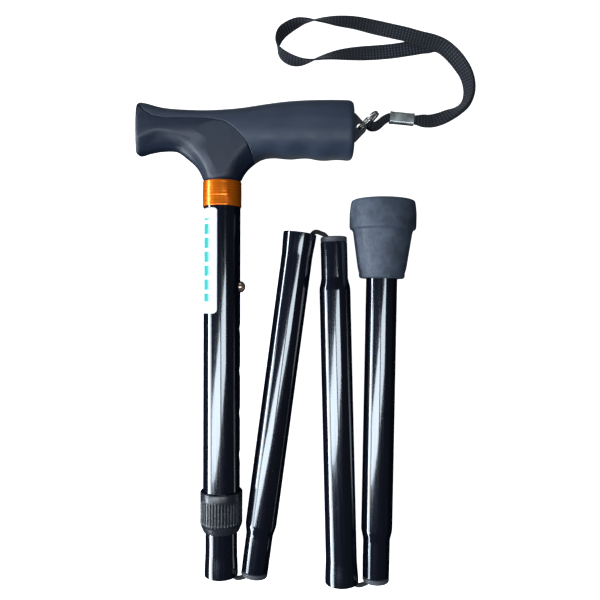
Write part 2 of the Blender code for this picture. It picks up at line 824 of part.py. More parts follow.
def upper_anchor(frame):
    """Plug in the inner tube with the cord's first stretch knotted above it."""
    low = UPPER_ANCHOR_TOP - UPPER_ANCHOR_LENGTH
    cord_anchor("elastic_anchor_upper", low, UPPER_ANCHOR_TOP, INNER_TUBE_R - WALL - GAP, frame)
    look = material("elastic_1_black", (0.01, 0.01, 0.012), 0.8)
    knotted_cord("elastic_cord_1", UPPER_ANCHOR_TOP + KNOT_AWAY, LOOP_DEPTH + GAP, frame, look)


def lower_anchor(frame):
    """Plug near the rubber tip with the cord's last knot below it."""
    low = SECTION_4_LENGTH - LOWER_ANCHOR_FROM_SOLE
    high = low + LOWER_ANCHOR_LENGTH
    cord_anchor("elastic_anchor_lower", low, high, LOWER_ANCHOR_R, frame)
    look = material("elastic_1_black", (0.01, 0.01, 0.012), 0.8)
    knotted_cord("elastic_knot_lower", high + KNOT_AWAY, low - LOWER_CORD_TAIL, frame, look)


# ---------------------------------------------------------------- section 4 and tip


def rubber_tip(frame):
    """Flared rubber ferrule with a stepped head and two grooves in its sole."""
    sole = SECTION_4_LENGTH
    head = sole - TIP_HEAD
    low = sole - TIP_LENGTH
    bore = SECTION_R + GAP
    floor = sole - TIP_SOLE
    profile = [(0.0, sole)]
    for r in (6.0 * MM, 12.0 * MM):
        depth = 1.2 * MM
        profile += [(r, sole), (r + 0.5 * MM, sole - depth), (r + 2 * MM, sole - depth)]
        profile.append((r + 2.5 * MM, sole))
    profile += [
        (TIP_R - 1.7 * MM, sole),
        (TIP_R - 0.9 * MM, sole - 0.6 * MM),
        (TIP_R, sole - 8.0 * MM),
        (TIP_R - 0.2 * MM, head + 1.2 * MM),
        (TIP_R - 0.9 * MM, head),
        (TIP_SHOULDER_R, head - 1.6 * MM),
        (TIP_NECK_R + 0.9 * MM, low + 6 * MM),
        (TIP_NECK_R, low + 1.0 * MM),
        (TIP_NECK_R - 0.9 * MM, low),
        (bore, low),
        (bore, floor),
        (0.0, floor),
    ]
    look = material("tip_rubber", (0.09, 0.1, 0.12), 0.75)
    return turned("rubber_tip", profile, look, frame, closed=False)


def tip_washer(frame):
    """Steel disc between the tube's end and the rubber."""
    top = SECTION_4_LENGTH - TIP_SOLE - GAP
    r = SECTION_R
    profile = [(0.0, top), (r, top), (r, top - WASHER), (0.0, top - WASHER)]
    look = material("washer_steel", (0.5, 0.5, 0.52), 0.35, 1.0)
    return turned("tip_washer", profile, look, frame, FINE_STEPS, closed=False)


# ---------------------------------------------------------------- grip


def bar_rings(inset=0.0, start=None, end=None, count=26, points=24):
    """Cross sections of the grip bar. With an inset it is the bar of hard core inside the cover."""
    table = np.array(BAR) * MM
    start = table[0, 0] if start is None else start
    end = table[-1, 0] if end is None else end
    places = list(np.linspace(start, end, count))
    insets = [inset] * count
    if not inset:
        places = [start + BAR_ENDS[0][0] * MM, start + BAR_ENDS[1][0] * MM] + places
        places += [end + BAR_ENDS[2][0] * MM, end + BAR_ENDS[3][0] * MM]
        insets = [-BAR_ENDS[0][1] * MM, -BAR_ENDS[1][1] * MM] + insets
        insets += [-BAR_ENDS[2][1] * MM, -BAR_ENDS[3][1] * MM]
    rings = []
    for x, shrink in zip(places, insets):
        at = [min(max(x, table[0, 0]), table[-1, 0])]
        low, high, depth = smooth_values(table[:, 0], table[:, 1:], at)[0]
        half = (high - low) / 2 - shrink
        rings.append(super_ring((x, (high + low) / 2), half, depth - shrink, "YZ", points))
    return rings


def neck_rings(points=24):
    """Cross sections of the neck, round at the collar and widening into the bar."""
    table = np.array(NECK) * MM
    places = np.linspace(table[0, 0], table[-1, 0], 12)
    rows = smooth_values(table[:, 0], table[:, 1:], places)
    rings = []
    for y, (left, right, depth) in zip(places, rows):
        centre = ((left + right) / 2, y)
        rings.append(super_ring(centre, (right - left) / 2, depth, "XZ", points, 2.05))
    return rings


def super_ring(centre, half_a, half_z, plane, points, fullness=BAR_FULLNESS):
    """One rounded-rectangle ring, upright, across X or across Y."""
    ring = []
    for i in range(points):
        angle = TURN * (i + 0.5) / points
        c, s = math.cos(angle), math.sin(angle)
        a = math.copysign(abs(c) ** (2 / fullness), c) * half_a
        z = AXIS_HEIGHT + math.copysign(abs(s) ** (2 / fullness), s) * half_z
        if plane == "YZ":
            ring.append((centre[0], centre[1] + a, z))
        else:
            ring.append((centre[0] + a, centre[1], z))
    return ring


def upper_region(shift):
    """Outline of everything on the cover's side of the parting line, moved off it by a shift."""
    line = offset_line(np.array(PARTING) * MM, shift)
    first, last = line[0], line[-1]
    return [
        (-95 * MM, first[1] + 9 * MM),
        *line,
        (last[0] + 1.5 * MM, 95 * MM),
        (60 * MM, 95 * MM),
        (60 * MM, 165 * MM),
        (-95 * MM, 165 * MM),
    ]


def core_bar(name, inset, reach):
    """Hard bar inside the cover, ended short of the cover's ends."""
    start, end = -68 * MM - reach, 37 * MM + reach
    rings = bar_rings(inset, start, end, 16, 20)
    return cutter(loft(name, rings, None, collection=CUTTERS))


def handle_parts():
    """Soft cover and hard core, both cut from one blank of bar and neck."""
    neck = cutter(loft("neck_blank", neck_rings(), None, collection=CUTTERS))
    cover_side = plate("cover_side", [upper_region(0.0)], 60 * MM, AXIS_HEIGHT, None, CUTTERS)
    core_side = plate("core_side", [upper_region(-GAP)], 62 * MM, AXIS_HEIGHT, None, CUTTERS)
    cutter(cover_side)
    cutter(core_side)
    slot = lug_slot()

    soft = material("cover_soft_grey", (0.05, 0.057, 0.075), 0.6)
    cover = loft("grip_cover", bar_rings(), soft)
    boolean(cover, "UNION", neck)
    boolean(cover, "INTERSECT", cover_side)
    boolean(cover, "DIFFERENCE", core_bar("core_bar_room", 4.6 * MM, GAP))
    boolean(cover, "DIFFERENCE", slot)

    hard = material("core_hard_grey", (0.06, 0.065, 0.08), 0.45)
    core = loft("handle_core", bar_rings(), hard)
    boolean(core, "UNION", neck)
    boolean(core, "DIFFERENCE", core_side)
    boolean(core, "UNION", core_bar("core_bar", 4.9 * MM, 0.0))
    boolean(core, "UNION", stem())
    boolean(core, "DIFFERENCE", pin_cutter())


def stem():
    """Round stem of the core that fills the top of the upper tube."""
    start = (STICK_X, STEM_BOTTOM_Y, AXIS_HEIGHT)
    end = (STICK_X, 104 * MM, AXIS_HEIGHT)
    return round_bar("grip_stem", start, end, STEM_R, TURN_STEPS)


def lug_slot():
    """Pocket in the cover's end for the lug's tongue."""
    low, high = LUG_HOLE.y - 9.4 * MM, LUG_HOLE.y + 8.4 * MM
    outline = [(38.2 * MM, low), (52 * MM, low), (52 * MM, high), (38.2 * MM, high)]
    thickness = LUG_THICKNESS + 2 * GAP
    return cutter(plate("lug_pocket", [outline], thickness, AXIS_HEIGHT, None, CUTTERS))


def strap_lug():
    """Flat ear with a hole, its tongue set into the end of the grip."""
    x, y = LUG_HOLE
    tip = arc(x, y - 0.6 * MM, 3.7 * MM, -52, 58, 9)
    outline = [(38.8 * MM, y - 9.0 * MM), (48.0 * MM, y - 9.0 * MM), *tip]
    outline += [(48.0 * MM, y + 8.0 * MM), (38.8 * MM, y + 8.0 * MM)]
    hole = arc(x, y, LUG_HOLE_R, 0, 345, 24)
    look = material("lug_plastic", (0.05, 0.055, 0.065), 0.5)
    return plate("strap_lug", [outline, hole], LUG_THICKNESS, AXIS_HEIGHT, look)


# ---------------------------------------------------------------- ring and strap


def split_ring():
    """Flat coil of two turns through the lug's hole, its plane upright."""
    reach = math.sqrt(RING_R**2 - RING_DROP**2)
    away = Vector((math.cos(RING_HEADING), math.sin(RING_HEADING)))
    centre = LUG_HOLE + away * reach
    axis = turn_left(away)
    points = []
    count = 26 * RING_TURNS
    for i in range(count):
        angle = math.pi / 2 + TURN * RING_TURNS * i / count
        shift = RING_PITCH * RING_TURNS * (i / count - 0.375)
        flat = centre + away * RING_R * math.cos(angle) + axis * shift
        points.append((flat.x, flat.y, AXIS_HEIGHT - RING_DROP + RING_R * math.sin(angle)))
    look = material("ring_nickel", (0.6, 0.6, 0.6), 0.2, 1.0)
    ring = tube_curve("split_ring", points, RING_WIRE_R, look)
    axis_empty = fold_axis("ring_swing_axis", LUG_HOLE)
    ring.parent = axis_empty
    ring.matrix_parent_inverse = parent_world(axis_empty).inverted()
    return ring


def strap_line():
    """Centre line of the webbing with the direction and the amount of its width at each point."""
    rows = [level_row(point) for point in STRAP_EYE]
    rows += [layer_row(STRAP_DOUBLE, i, 1) for i in range(len(STRAP_DOUBLE))]
    rows += [layer_row(STRAP_LOOP, i, 0) for i in range(len(STRAP_LOOP))]
    rows += [layer_row(STRAP_DOUBLE, i, -1) for i in reversed(range(len(STRAP_DOUBLE)))]
    rows.append(level_row(STRAP_TAIL))
    rows = np.array(rows)
    rows[:, :3] *= MM
    return rows


def level_row(point):
    """Place, level width direction and width at a point of the eye."""
    heading = math.radians(point[3])
    return (*point[:3], math.cos(heading), math.sin(heading), 0.0, STRAP_EYE_WIDTH)


def layer_row(route, i, layer):
    """Place, width direction and width at a route point. Layer 1 is on the line's upper face, -1 below."""
    up = Vector((0, 0, 1))
    before, after = route[max(i - 1, 0)], route[min(i + 1, len(route) - 1)]
    run = (Vector(after[:3]) - Vector(before[:3])).normalized()
    side = up.cross(run).normalized()
    roll = math.radians(route[i][3])
    width = side * math.cos(roll) + up * math.sin(roll)
    face = run.cross(width).normalized()
    place = Vector(route[i][:3]) + face * (STRAP_LAYER / MM) * layer
    away = (place * MM - CRIMP_CENTRE).length
    return (*place, *width, np.interp(away, STRAP_GATHER_AWAY, STRAP_GATHER_WIDTH))


def strap_webbing():
    """Woven strap: round the ring, out in two layers and back through one open loop."""
    rows = smooth_line(strap_line(), 3.6 * MM)
    places, widths, halves = rows[:, :3], rows[:, 3:6], rows[:, 6] / 2
    run = np.gradient(places, axis=0)
    widths /= np.linalg.norm(widths, axis=1)[:, None]
    faces = np.cross(run, widths)
    faces /= np.linalg.norm(faces, axis=1)[:, None]
    t = STRAP_THICKNESS / 2
    rings = []
    for place, width, face, w in zip(places, widths, faces, halves):
        corners = ((w - t, t), (w, 0), (w - t, -t), (t - w, -t), (-w, 0), (t - w, t))
        rings.append([place + a * width + b * face for a, b in corners])
    look = material("webbing_black", (0.012, 0.013, 0.018), 0.85)
    return loft("strap_webbing", rings, look)


def strap_crimp():
    """Aluminium sleeve pressed over the strap's layers."""
    half_w, half_t, wall = 3.7 * MM, 2.5 * MM, 0.5 * MM
    outer = rounded_box(half_w, half_t, 1.3 * MM)
    inner = rounded_box(half_w - wall, half_t - wall, 0.8 * MM)
    look = material("crimp_aluminium", (0.75, 0.77, 0.78), 0.3, 1.0)
    sleeve = plate("strap_crimp", [outer, inner], CRIMP_LENGTH, 0.0, look)
    turn = Matrix.Rotation(CRIMP_HEADING, 4, "Z") @ Matrix.Rotation(math.pi / 2, 4, "Y")
    turn = turn @ Matrix.Rotation(math.pi / 2, 4, "Z")
    sleeve.matrix_world = Matrix.Translation(CRIMP_CENTRE) @ turn
    return sleeve


def rounded_box(half_x, half_y, r):
    """Outline of a rectangle with round corners, about its own centre."""
    out = arc(half_x - r, half_y - r, r, 0, 90, 5)
    out += arc(r - half_x, half_y - r, r, 90, 180, 5)
    out += arc(r - half_x, r - half_y, r, 180, 270, 5)
    out += arc(half_x - r, r - half_y, r, 270, 360, 5)
    return out


# ---------------------------------------------------------------- assembly


def build():
    stick = axis_frame("stick_axis", (STICK_X, 0.0))
    handle_parts()
    strap_lug()
    handle_pin()
    collar_ring(stick)
    upper_tube(stick)
    tube_label(stick)
    tube_collet(stick)
    locking_nut(stick)

    mouth_1 = Vector((STICK_X, MOUTH_1_Y))
    inner = axis_frame("inner_tube_axis", mouth_1)
    inner_tube(inner)
    guide_cap(inner)
    button_spring(inner)
    button_axis = fold_axis("button_axis", (STICK_X, TOP_HOLE_Y))
    button_axis.rotation_euler = (0.0, math.pi / 2, 0.0)
    snap_button(button_axis)
    upper_anchor(inner)

    sections = (
        (2, SECTION_2_END, SECTION_2_LEAN, SECTION_LENGTH, CORD_STOP, True),
        (3, SECTION_3_END, SECTION_3_LEAN, SECTION_LENGTH, CORD_STOP, True),
        (4, SECTION_4_END, SECTION_4_LEAN, SECTION_4_TUBE, LAST_CORD_STOP, False),
    )
    mouth, out, parent = mouth_1, math.pi, inner
    for number, end, lean, length, stop, has_mouth in sections:
        turn = fold_turn(out, lean)
        seat = mouth + heading_vector(out) * SEAT_GAP
        pivot = fold_axis(f"fold_{number}_axis", fold_pivot(end, seat, turn))
        frame = axis_frame(f"section_{number}_axis", end, lean, pivot)
        section_tube(number, length, frame, has_mouth)
        end_plug(number, frame)
        cord_loop(number - 1, mouth, out, end, lean + math.pi, parent)
        cord_run(number, LOOP_DEPTH + GAP, length - stop, frame)
        mouth, out, parent = end + heading_vector(lean) * length, lean, frame
    lower_anchor(parent)
    tip_washer(parent)
    rubber_tip(parent)
    split_ring()
    strap_webbing()
    strap_crimp()


def fold_turn(out, lean):
    """Counter-clockwise turn that lines a folded section up with its parent's way out."""
    turn = (lean - out) % TURN
    return turn if turn <= math.pi else turn - TURN


clear_scene()
PARTS = new_collection("folding_walking_stick")
CUTTERS = new_collection("cutters")
build()
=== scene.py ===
"""Looks of the folding walking stick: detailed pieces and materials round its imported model.

Lengths here are in millimetres unless a name says otherwise, and are turned into metres by MM.
"""

import json
import math

import bmesh
import bpy
import numpy as np
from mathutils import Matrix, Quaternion, Vector
from mathutils.bvhtree import BVHTree


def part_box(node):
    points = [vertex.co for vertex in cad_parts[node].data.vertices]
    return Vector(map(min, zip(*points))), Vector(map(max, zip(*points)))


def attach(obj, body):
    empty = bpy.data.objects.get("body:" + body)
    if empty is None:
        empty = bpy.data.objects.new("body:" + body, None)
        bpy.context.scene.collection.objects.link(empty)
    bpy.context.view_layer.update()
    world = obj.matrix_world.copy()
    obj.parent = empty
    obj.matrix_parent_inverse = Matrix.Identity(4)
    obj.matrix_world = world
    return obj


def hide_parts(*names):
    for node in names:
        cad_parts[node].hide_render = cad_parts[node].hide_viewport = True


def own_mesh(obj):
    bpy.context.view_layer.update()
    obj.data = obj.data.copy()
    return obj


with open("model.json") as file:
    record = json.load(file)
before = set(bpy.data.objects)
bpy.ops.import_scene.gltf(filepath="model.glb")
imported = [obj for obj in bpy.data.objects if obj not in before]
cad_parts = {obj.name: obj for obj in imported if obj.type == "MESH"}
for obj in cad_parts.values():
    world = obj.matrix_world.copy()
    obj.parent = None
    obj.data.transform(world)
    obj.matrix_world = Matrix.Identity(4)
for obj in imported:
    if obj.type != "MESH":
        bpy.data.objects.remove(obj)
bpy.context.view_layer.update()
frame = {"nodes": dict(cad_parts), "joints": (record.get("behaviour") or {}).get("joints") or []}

MM = 0.001
TURN = 2 * math.pi
UP = Vector((0, 0, 1))
STICK = Vector((0, 1, 0))
RIGHT = Vector((1, 0, 0))
TO_MM = (1000, 1000, 1)
AXIS_HEIGHT = sum(corner.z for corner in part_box("upper_tube")) / 2

# Camera, straight above the folded stick
CAMERA_X = 15 * MM
CAMERA_Y = 26.4 * MM
CAMERA_HEIGHT = 398 * MM
CAMERA_LENS = 37.8
CAMERA_ROLL = math.radians(0.15)

# Floor, backdrop and lights, in metres. A light has its place, its target, its width and height, and the
# radiance of its face. The overhead panes have low X, high X and radiance, and lie on one slanted line.
FLOOR_HALF = 6.0
FLOOR_GLOW = 0.95
BACKDROP_GLOW = 0.85
LIGHT_COLOUR = (0.84, 0.92, 1.0)
OVERHEAD_PANES = {"over_left": (-1.5, -0.045, 10.0), "over_right": (0.03, 0.55, 8.0)}
OVERHEAD_HEIGHT = 1.0
OVERHEAD_DEPTH = 0.24
OVERHEAD_Y = -0.13
OVERHEAD_SLOPE = 0.22
OVERHEAD_TURN = 12.5
SOFTBOXES = {
    "strip_left": ((-1.1, -0.25, 0.22), (0.0, 0.0, 0.02), (1.9, 0.16), 21.0),
    "fill_left": ((-0.85, -0.3, 0.34), (0.0, 0.05, 0.02), (0.7, 0.3), 7.0),
    "box_top": ((-0.5, 1.1, 0.6), (0.0, 0.1, 0.0), (1.2, 0.5), 1.6),
}

# Tubes and plugs
UPPER_WALL = 1.2
WALL = 1.1
INNER_TUBE_R = 9.45
SECTION_R = 9.3
SWAGE_R = 8.0
SWAGE_LENGTH = 24.0
SHOULDER_LENGTH = 8.0
MOUTH_BORE_R = 9.2
MOUTH_FLARE = 16.0
PLUG_FLANGE = 3.0
PLUG_LIP_R = 6.3
PLUG_BORE_R = 4.4
PLUG_LENGTH = 12.0
FIT = 0.3
SECTION_START = PLUG_FLANGE + FIT

# Height holes, button, nut, collar and label
HOLE_COUNT = 5
HOLE_PITCH = 25.4
HOLE_R = 3.8
DRILL_REACH = 16.0
BUTTON_R = 3.4
NUT_RIBS = 40
COLLAR_WALL = 0.4
LABEL_FIRST = 98.0
LABEL_LAST = 205.0
LABEL_CORNER = 2.2
LABEL_SKINS = (0.17, 0.05)

# Elastic cord
STRAND_LEAN = math.radians(35)
LOOP_VOXEL = 0.32

# Rubber tip
TIP_HEAD = 17.2
TIP_SOLE = 7.0
TIP_NECK_R = 13.6
TIP_SHOULDER_R = 17.7

# Split ring
RING_R = 7.4
RING_WIRE_R = 0.6
RING_DROP = 3.3
RING_HEADING = 38.0
RING_TURNS = 2
RING_PITCH = 1.3

# Wrist strap, in millimetres, on the route of its CAD solid. The eye and the tail have X, Y, Z and the
# heading of the webbing's width in degrees. The runs have X, Y, Z and roll in degrees: 0 is flat, 90 on
# edge and 180 turned over. The double run has two layers on one line.
STRAP_EYE = (
    (77.8, 139.8, 3.9, 96), (70.0, 140.4, 4.0, 98), (67.0, 138.6, 4.6, 120),
    (64.0, 135.7, 5.9, 124), (60.9, 133.6, 6.7, 107), (58.4, 133.7, 7.1, 72),
    (56.9, 135.0, 7.2, 48), (55.3, 136.4, 7.9, 48), (54.5, 137.1, 9.9, 48),
    (55.3, 136.4, 11.9, 48), (56.9, 135.0, 12.6, 48), (58.4, 133.7, 12.4, 72),
    (60.9, 133.6, 11.3, 107), (64.0, 135.7, 9.1, 124), (67.0, 138.6, 6.6, 120),
    (70.0, 140.4, 5.5, 98), (77.8, 139.8, 5.5, 96),
)
STRAP_TAIL = (79.4, 139.7, 3.9, 96)
STRAP_DOUBLE = (
    (86.4, 139.0, 4.7, 0), (91.2, 138.7, 4.0, -6), (96.5, 138.7, 3.4, -15),
    (102.5, 140.0, 4.2, -30), (108.1, 142.3, 5.0, -42), (112.9, 144.5, 5.9, -58),
    (116.7, 147.5, 6.3, -66), (119.1, 151.9, 6.3, -68), (120.0, 157.0, 6.2, -65),
    (119.4, 163.0, 6.0, -60), (117.7, 168.1, 5.8, -55), (115.0, 173.0, 5.2, -45),
    (111.4, 178.1, 4.6, -36), (107.4, 182.6, 3.8, -25), (103.4, 185.9, 3.0, -15),
)
STRAP_LOOP = (
    (97.7, 188.4, 3.3, -8), (89.4, 190.9, 2.8, 0), (81.5, 193.3, 2.5, 0),
    (72.8, 195.4, 2.2, 0), (62.2, 198.2, 1.2, 0), (48.1, 201.0, 1.8, 12),
    (37.1, 201.5, 3.1, 28), (30.4, 201.4, 4.3, 45), (23.8, 200.9, 5.3, 65),
    (17.7, 200.3, 5.8, 88), (12.9, 199.1, 5.6, 108), (8.1, 196.9, 5.1, 120),
    (3.6, 193.6, 4.9, 124), (1.2, 189.0, 5.4, 112), (0.8, 184.0, 5.8, 92),
    (3.0, 180.0, 5.6, 72), (6.3, 177.4, 5.3, 64), (10.3, 175.6, 5.4, 66),
    (15.3, 174.7, 5.7, 80), (20.0, 175.2, 5.8, 98), (24.3, 176.4, 5.4, 112),
    (30.4, 178.2, 4.7, 128), (37.0, 179.7, 3.7, 145), (43.7, 180.8, 2.5, 160),
    (52.6, 181.8, 1.2, 175), (62.3, 182.5, 0.8, 180), (73.0, 183.5, 0.8, 180),
    (84.7, 185.3, 0.8, 182), (93.2, 186.6, 0.9, 184),
)
STRAP_WIDTH = 9.4
STRAP_THICKNESS = 1.1
STRAP_LAYER = 0.8
STRAP_EYE_WIDTH = 5.0
STRAP_GATHER_AWAY = (8.0, 12.0, 26.0)
STRAP_GATHER_WIDTH = (5.3, 7.5, STRAP_WIDTH)
STRAP_STEP = 0.6
CRIMP_CENTRE = Vector((78.2, 139.75, 4.7))
CRIMP_LENGTH = 15.2
CRIMP_HEADING = -5.5
CRIMP_HALF_W = 3.7
CRIMP_HALF_T = 2.5

# Grip: the filled corner between bar and neck, the hollows for the fingers along X, the flat panel's
# height over the axis at one Y with its rise towards the crown, and the panel's two ridges seen from
# above, one from the nose and one on the right of the neck
CORNER_ABOVE_COLLAR = 17.0
CORNER_REACH = 9.0
CORNER_HALF_WIDTH = 22.0
CORNER_PASSES = 160
FORM_VOXEL = 0.8
SKIN_VOXEL = 0.5
FINGER_DENTS = (1.0, 20.0, 39.0)
PANEL_Y = 97.0
PANEL_LOW = 11.3
PANEL_SLOPE = 0.115
LEFT_RIDGE = (
    (-90.0, 119.0), (-79.3, 122.1), (-68.5, 125.8),
    (-57.0, 123.6), (-48.4, 117.8), (-42.6, 109.9),
    (-38.3, 99.8), (-36.8, 93.0),
)
RIGHT_RIDGE = ((-14.0, 122.0), (-16.2, 117.1), (-23.4, 106.6), (-24.3, 99.3), (-24.5, 94.0))


# -------- materials


class Look:
    """A Principled material with short ways to add the nodes that give it detail."""

    def __init__(self, name, **inputs):
        self.material = bpy.data.materials.new(name)
        self.material.use_nodes = True
        self.tree = self.material.node_tree
        self.shader = self.tree.nodes["Principled BSDF"]
        for key, value in inputs.items():
            self.put(key.replace("_", " "), value)

    def put(self, name, value):
        """Sets a shader input to a value, or links a socket to it."""
        self.feed(self.shader.inputs[name], value)

    def feed(self, socket, value):
        if isinstance(value, bpy.types.NodeSocket):
            self.tree.links.new(value, socket)
        else:
            socket.default_value = value

    def node(self, kind, inputs=(), **settings):
        made = self.tree.nodes.new(kind)
        for key, value in settings.items():
            setattr(made, key, value)
        for key, value in dict(inputs).items():
            self.feed(made.inputs[key], value)
        return made

    def coords(self, scale=(1, 1, 1), uv=False, turn=(0, 0, 0)):
        """Object coordinates, or distances along and round the piece for uv."""
        source = self.node("ShaderNodeTexCoord").outputs["UV" if uv else "Object"]
        moved = self.node("ShaderNodeMapping", {"Vector": source, "Scale": scale, "Rotation": turn})
        return moved.outputs[0]

    def noise(self, scale, detail=3.0, coords=None, roughness=0.5):
        inputs = {"Scale": scale, "Detail": detail, "Roughness": roughness}
        inputs["Vector"] = coords or self.coords()
        return self.node("ShaderNodeTexNoise", inputs).outputs["Fac"]

    def cells(self, scale):
        inputs = {"Scale": scale, "Vector": self.coords()}
        return self.node("ShaderNodeTexVoronoi", inputs, feature="F1").outputs["Distance"]

    def wave(self, scale, coords, direction="X"):
        inputs = {"Scale": scale, "Distortion": 0.0, "Vector": coords}
        return self.node("ShaderNodeTexWave", inputs, bands_direction=direction).outputs["Fac"]

    def ramp(self, value, low, high, start=0.0, end=1.0):
        """The value mapped from low..high to start..end and held there outside."""
        inputs = {"Value": value, "From Min": low, "From Max": high, "To Min": start, "To Max": end}
        return self.node("ShaderNodeMapRange", inputs).outputs[0]

    def math(self, operation, a, b=0.0):
        return self.node("ShaderNodeMath", {0: a, 1: b}, operation=operation).outputs[0]

    def blend(self, factor, a, b):
        """Colour a at factor 0 and colour b at factor 1."""
        a, b = [(*c, 1.0) if isinstance(c, tuple) else c for c in (a, b)]
        made = self.node("ShaderNodeMix", data_type="RGBA")
        self.feed(made.inputs[0], factor)
        self.feed(made.inputs[6], a)
        self.feed(made.inputs[7], b)
        return made.outputs[2]

    def tones(self, value, low, high, dark, pale):
        """Colours from dark to pale as the value goes from low to high."""
        return self.blend(self.ramp(value, low, high), dark, pale)

    def paint(self, *tones):
        """Base colour between two tones, as in tones()."""
        self.put("Base Color", self.tones(*tones))

    def rough(self, *mapping):
        """Roughness by a value mapped as in ramp()."""
        self.put("Roughness", self.ramp(*mapping))

    def bump(self, *heights):
        """Relief from pairs of a height socket and its depth in millimetres."""
        normal = None
        for height, depth in heights:
            made = self.node("ShaderNodeBump", {"Height": height, "Distance": depth * MM})
            if normal:
                self.tree.links.new(normal, made.inputs["Normal"])
            normal = made.outputs[0]
        self.put("Normal", normal)
        return normal


def soft_cover_look():
    """Soft-touch cover: fine moulded grain, faint mottling and a dusty sheen."""
    look = Look("cover_soft_touch", Sheen_Weight=0.12, Sheen_Roughness=0.4)
    cloud = look.noise(45, 4)
    fine = look.noise(2600, 2)
    look.paint(cloud, 0.35, 0.7, (0.02, 0.031, 0.055), (0.029, 0.043, 0.073))
    look.rough(look.noise(160, 3), 0.3, 0.7, 0.46, 0.6)
    look.bump((fine, 0.05), (cloud, 0.1))
    return look.material


def hard_core_look():
    """Satin moulded plastic, a little smoother than the cover, with a fine spark-eroded grain."""
    look = Look("core_satin_plastic", Specular_IOR_Level=0.4)
    cloud = look.noise(60, 4)
    look.paint(cloud, 0.3, 0.7, (0.008, 0.013, 0.027), (0.012, 0.02, 0.038))
    look.rough(look.noise(220, 3), 0.3, 0.7, 0.4, 0.48)
    look.bump((look.cells(1500), 0.03), (look.noise(3000, 2), 0.02))
    return look.material


def lacquer_look():
    """Gloss black lacquer with orange peel, rubbing marks along the tube and dust."""
    look = Look("tube_lacquer", IOR=1.8, Coat_Weight=0.5, Coat_IOR=1.6)
    look.put("Specular Tint", (0.9, 0.96, 1.0, 1.0))
    rub = look.noise(1.0, 4, look.coords((1100, 22, 1), uv=True))
    dust = look.ramp(look.noise(1500, 1), 0.76, 0.82, 0.0, 0.22)
    look.put("Roughness", look.math("ADD", look.ramp(rub, 0.35, 0.75, 0.08, 0.19), dust))
    look.put("Coat Roughness", look.ramp(rub, 0.45, 0.8, 0.02, 0.08))
    look.put("Base Color", look.blend(dust, (0.003, 0.004, 0.01), (0.12, 0.13, 0.15)))
    peel = look.noise(230, 2)
    drawn = look.noise(1.0, 3, look.coords((700, 40, 1), uv=True))
    look.put("Coat Normal", look.bump((peel, 0.006), (drawn, 0.004)))
    return look.material


def collar_look():
    """Orange anodised aluminium with turning marks round it."""
    look = Look("collar_anodised", Metallic=0.6, Coat_Weight=0.15, Coat_Roughness=0.12)
    marks = look.noise(1.0, 3, look.coords((6, 9000, 1), uv=True))
    tone = look.noise(1.0, 3, look.coords((500, 20, 1), uv=True))
    look.paint(tone, 0.3, 0.7, (0.86, 0.15, 0.002), (1.0, 0.24, 0.006))
    look.rough(marks, 0.3, 0.7, 0.2, 0.36)
    look.put("Anisotropic", 0.5)
    look.bump((marks, 0.012))
    return look.material


def metal_look(name, colour, roughness, marks):
    """Bare or plated metal with fine marks, a slight haze and uneven polish."""
    look = Look(name, Metallic=0.8)
    fine = look.noise(2000, 3)
    broad = look.noise(500 / 3, 4)
    dark = tuple(c * 0.72 for c in colour)
    look.paint(broad, 0.35, 0.7, dark, colour)
    look.rough(broad, 0.3, 0.7, roughness * 0.7, roughness * 1.4)
    look.bump((fine, marks))
    return look.material


def plastic_look(name, colour, roughness, grain):
    """Moulded plastic with a fine grain and a slight change of tone."""
    look = Look(name)
    broad = look.noise(150, 4)
    dark = tuple(c * 0.75 for c in colour)
    look.paint(broad, 0.3, 0.7, dark, colour)
    look.rough(look.noise(400, 3), 0.3, 0.7, roughness * 0.85, roughness * 1.15)
    look.bump((look.noise(2400, 2), grain))
    return look.material


def tip_rubber_look():
    """Matte rubber: bloom in cloudy patches, fine pits and a few scuffs."""
    look = Look("tip_rubber_matte")
    cloud = look.noise(90, 5, roughness=0.62)
    fine = look.noise(700, 4)
    grey = look.tones(cloud, 0.35, 0.68, (0.028, 0.038, 0.058), (0.07, 0.09, 0.125))
    pale = look.ramp(look.noise(1.0, 3, look.coords((300, 60, 1), uv=True)), 0.66, 0.76, 0.0, 0.35)
    look.put("Base Color", look.blend(pale, grey, (0.13, 0.155, 0.19)))
    look.rough(fine, 0.3, 0.7, 0.5, 0.72)
    look.bump((fine, 0.05), (look.cells(900), 0.03))
    return look.material


def braid_look():
    """Black braided elastic: crossing strands with a dull shine, and painted shade in the grooves between
    the strands.
    """
    look = Look("elastic_braid", Sheen_Weight=0.3, Sheen_Roughness=0.5)
    left = look.wave(0.32, look.coords(TO_MM, uv=True, turn=(0, 0, STRAND_LEAN)))
    right = look.wave(0.32, look.coords(TO_MM, uv=True, turn=(0, 0, -STRAND_LEAN)))
    strands = look.math("MAXIMUM", left, right)
    # painted shade: the colour is darker in the grooves between the strands and lighter on their crests,
    # following the relief
    look.paint(strands, 0.3, 0.95, (0.004, 0.004, 0.005), (0.03, 0.031, 0.037))
    look.rough(strands, 0.2, 1.0, 0.75, 0.5)
    look.bump((strands, 0.12), (look.noise(3500, 2), 0.03))
    return look.material


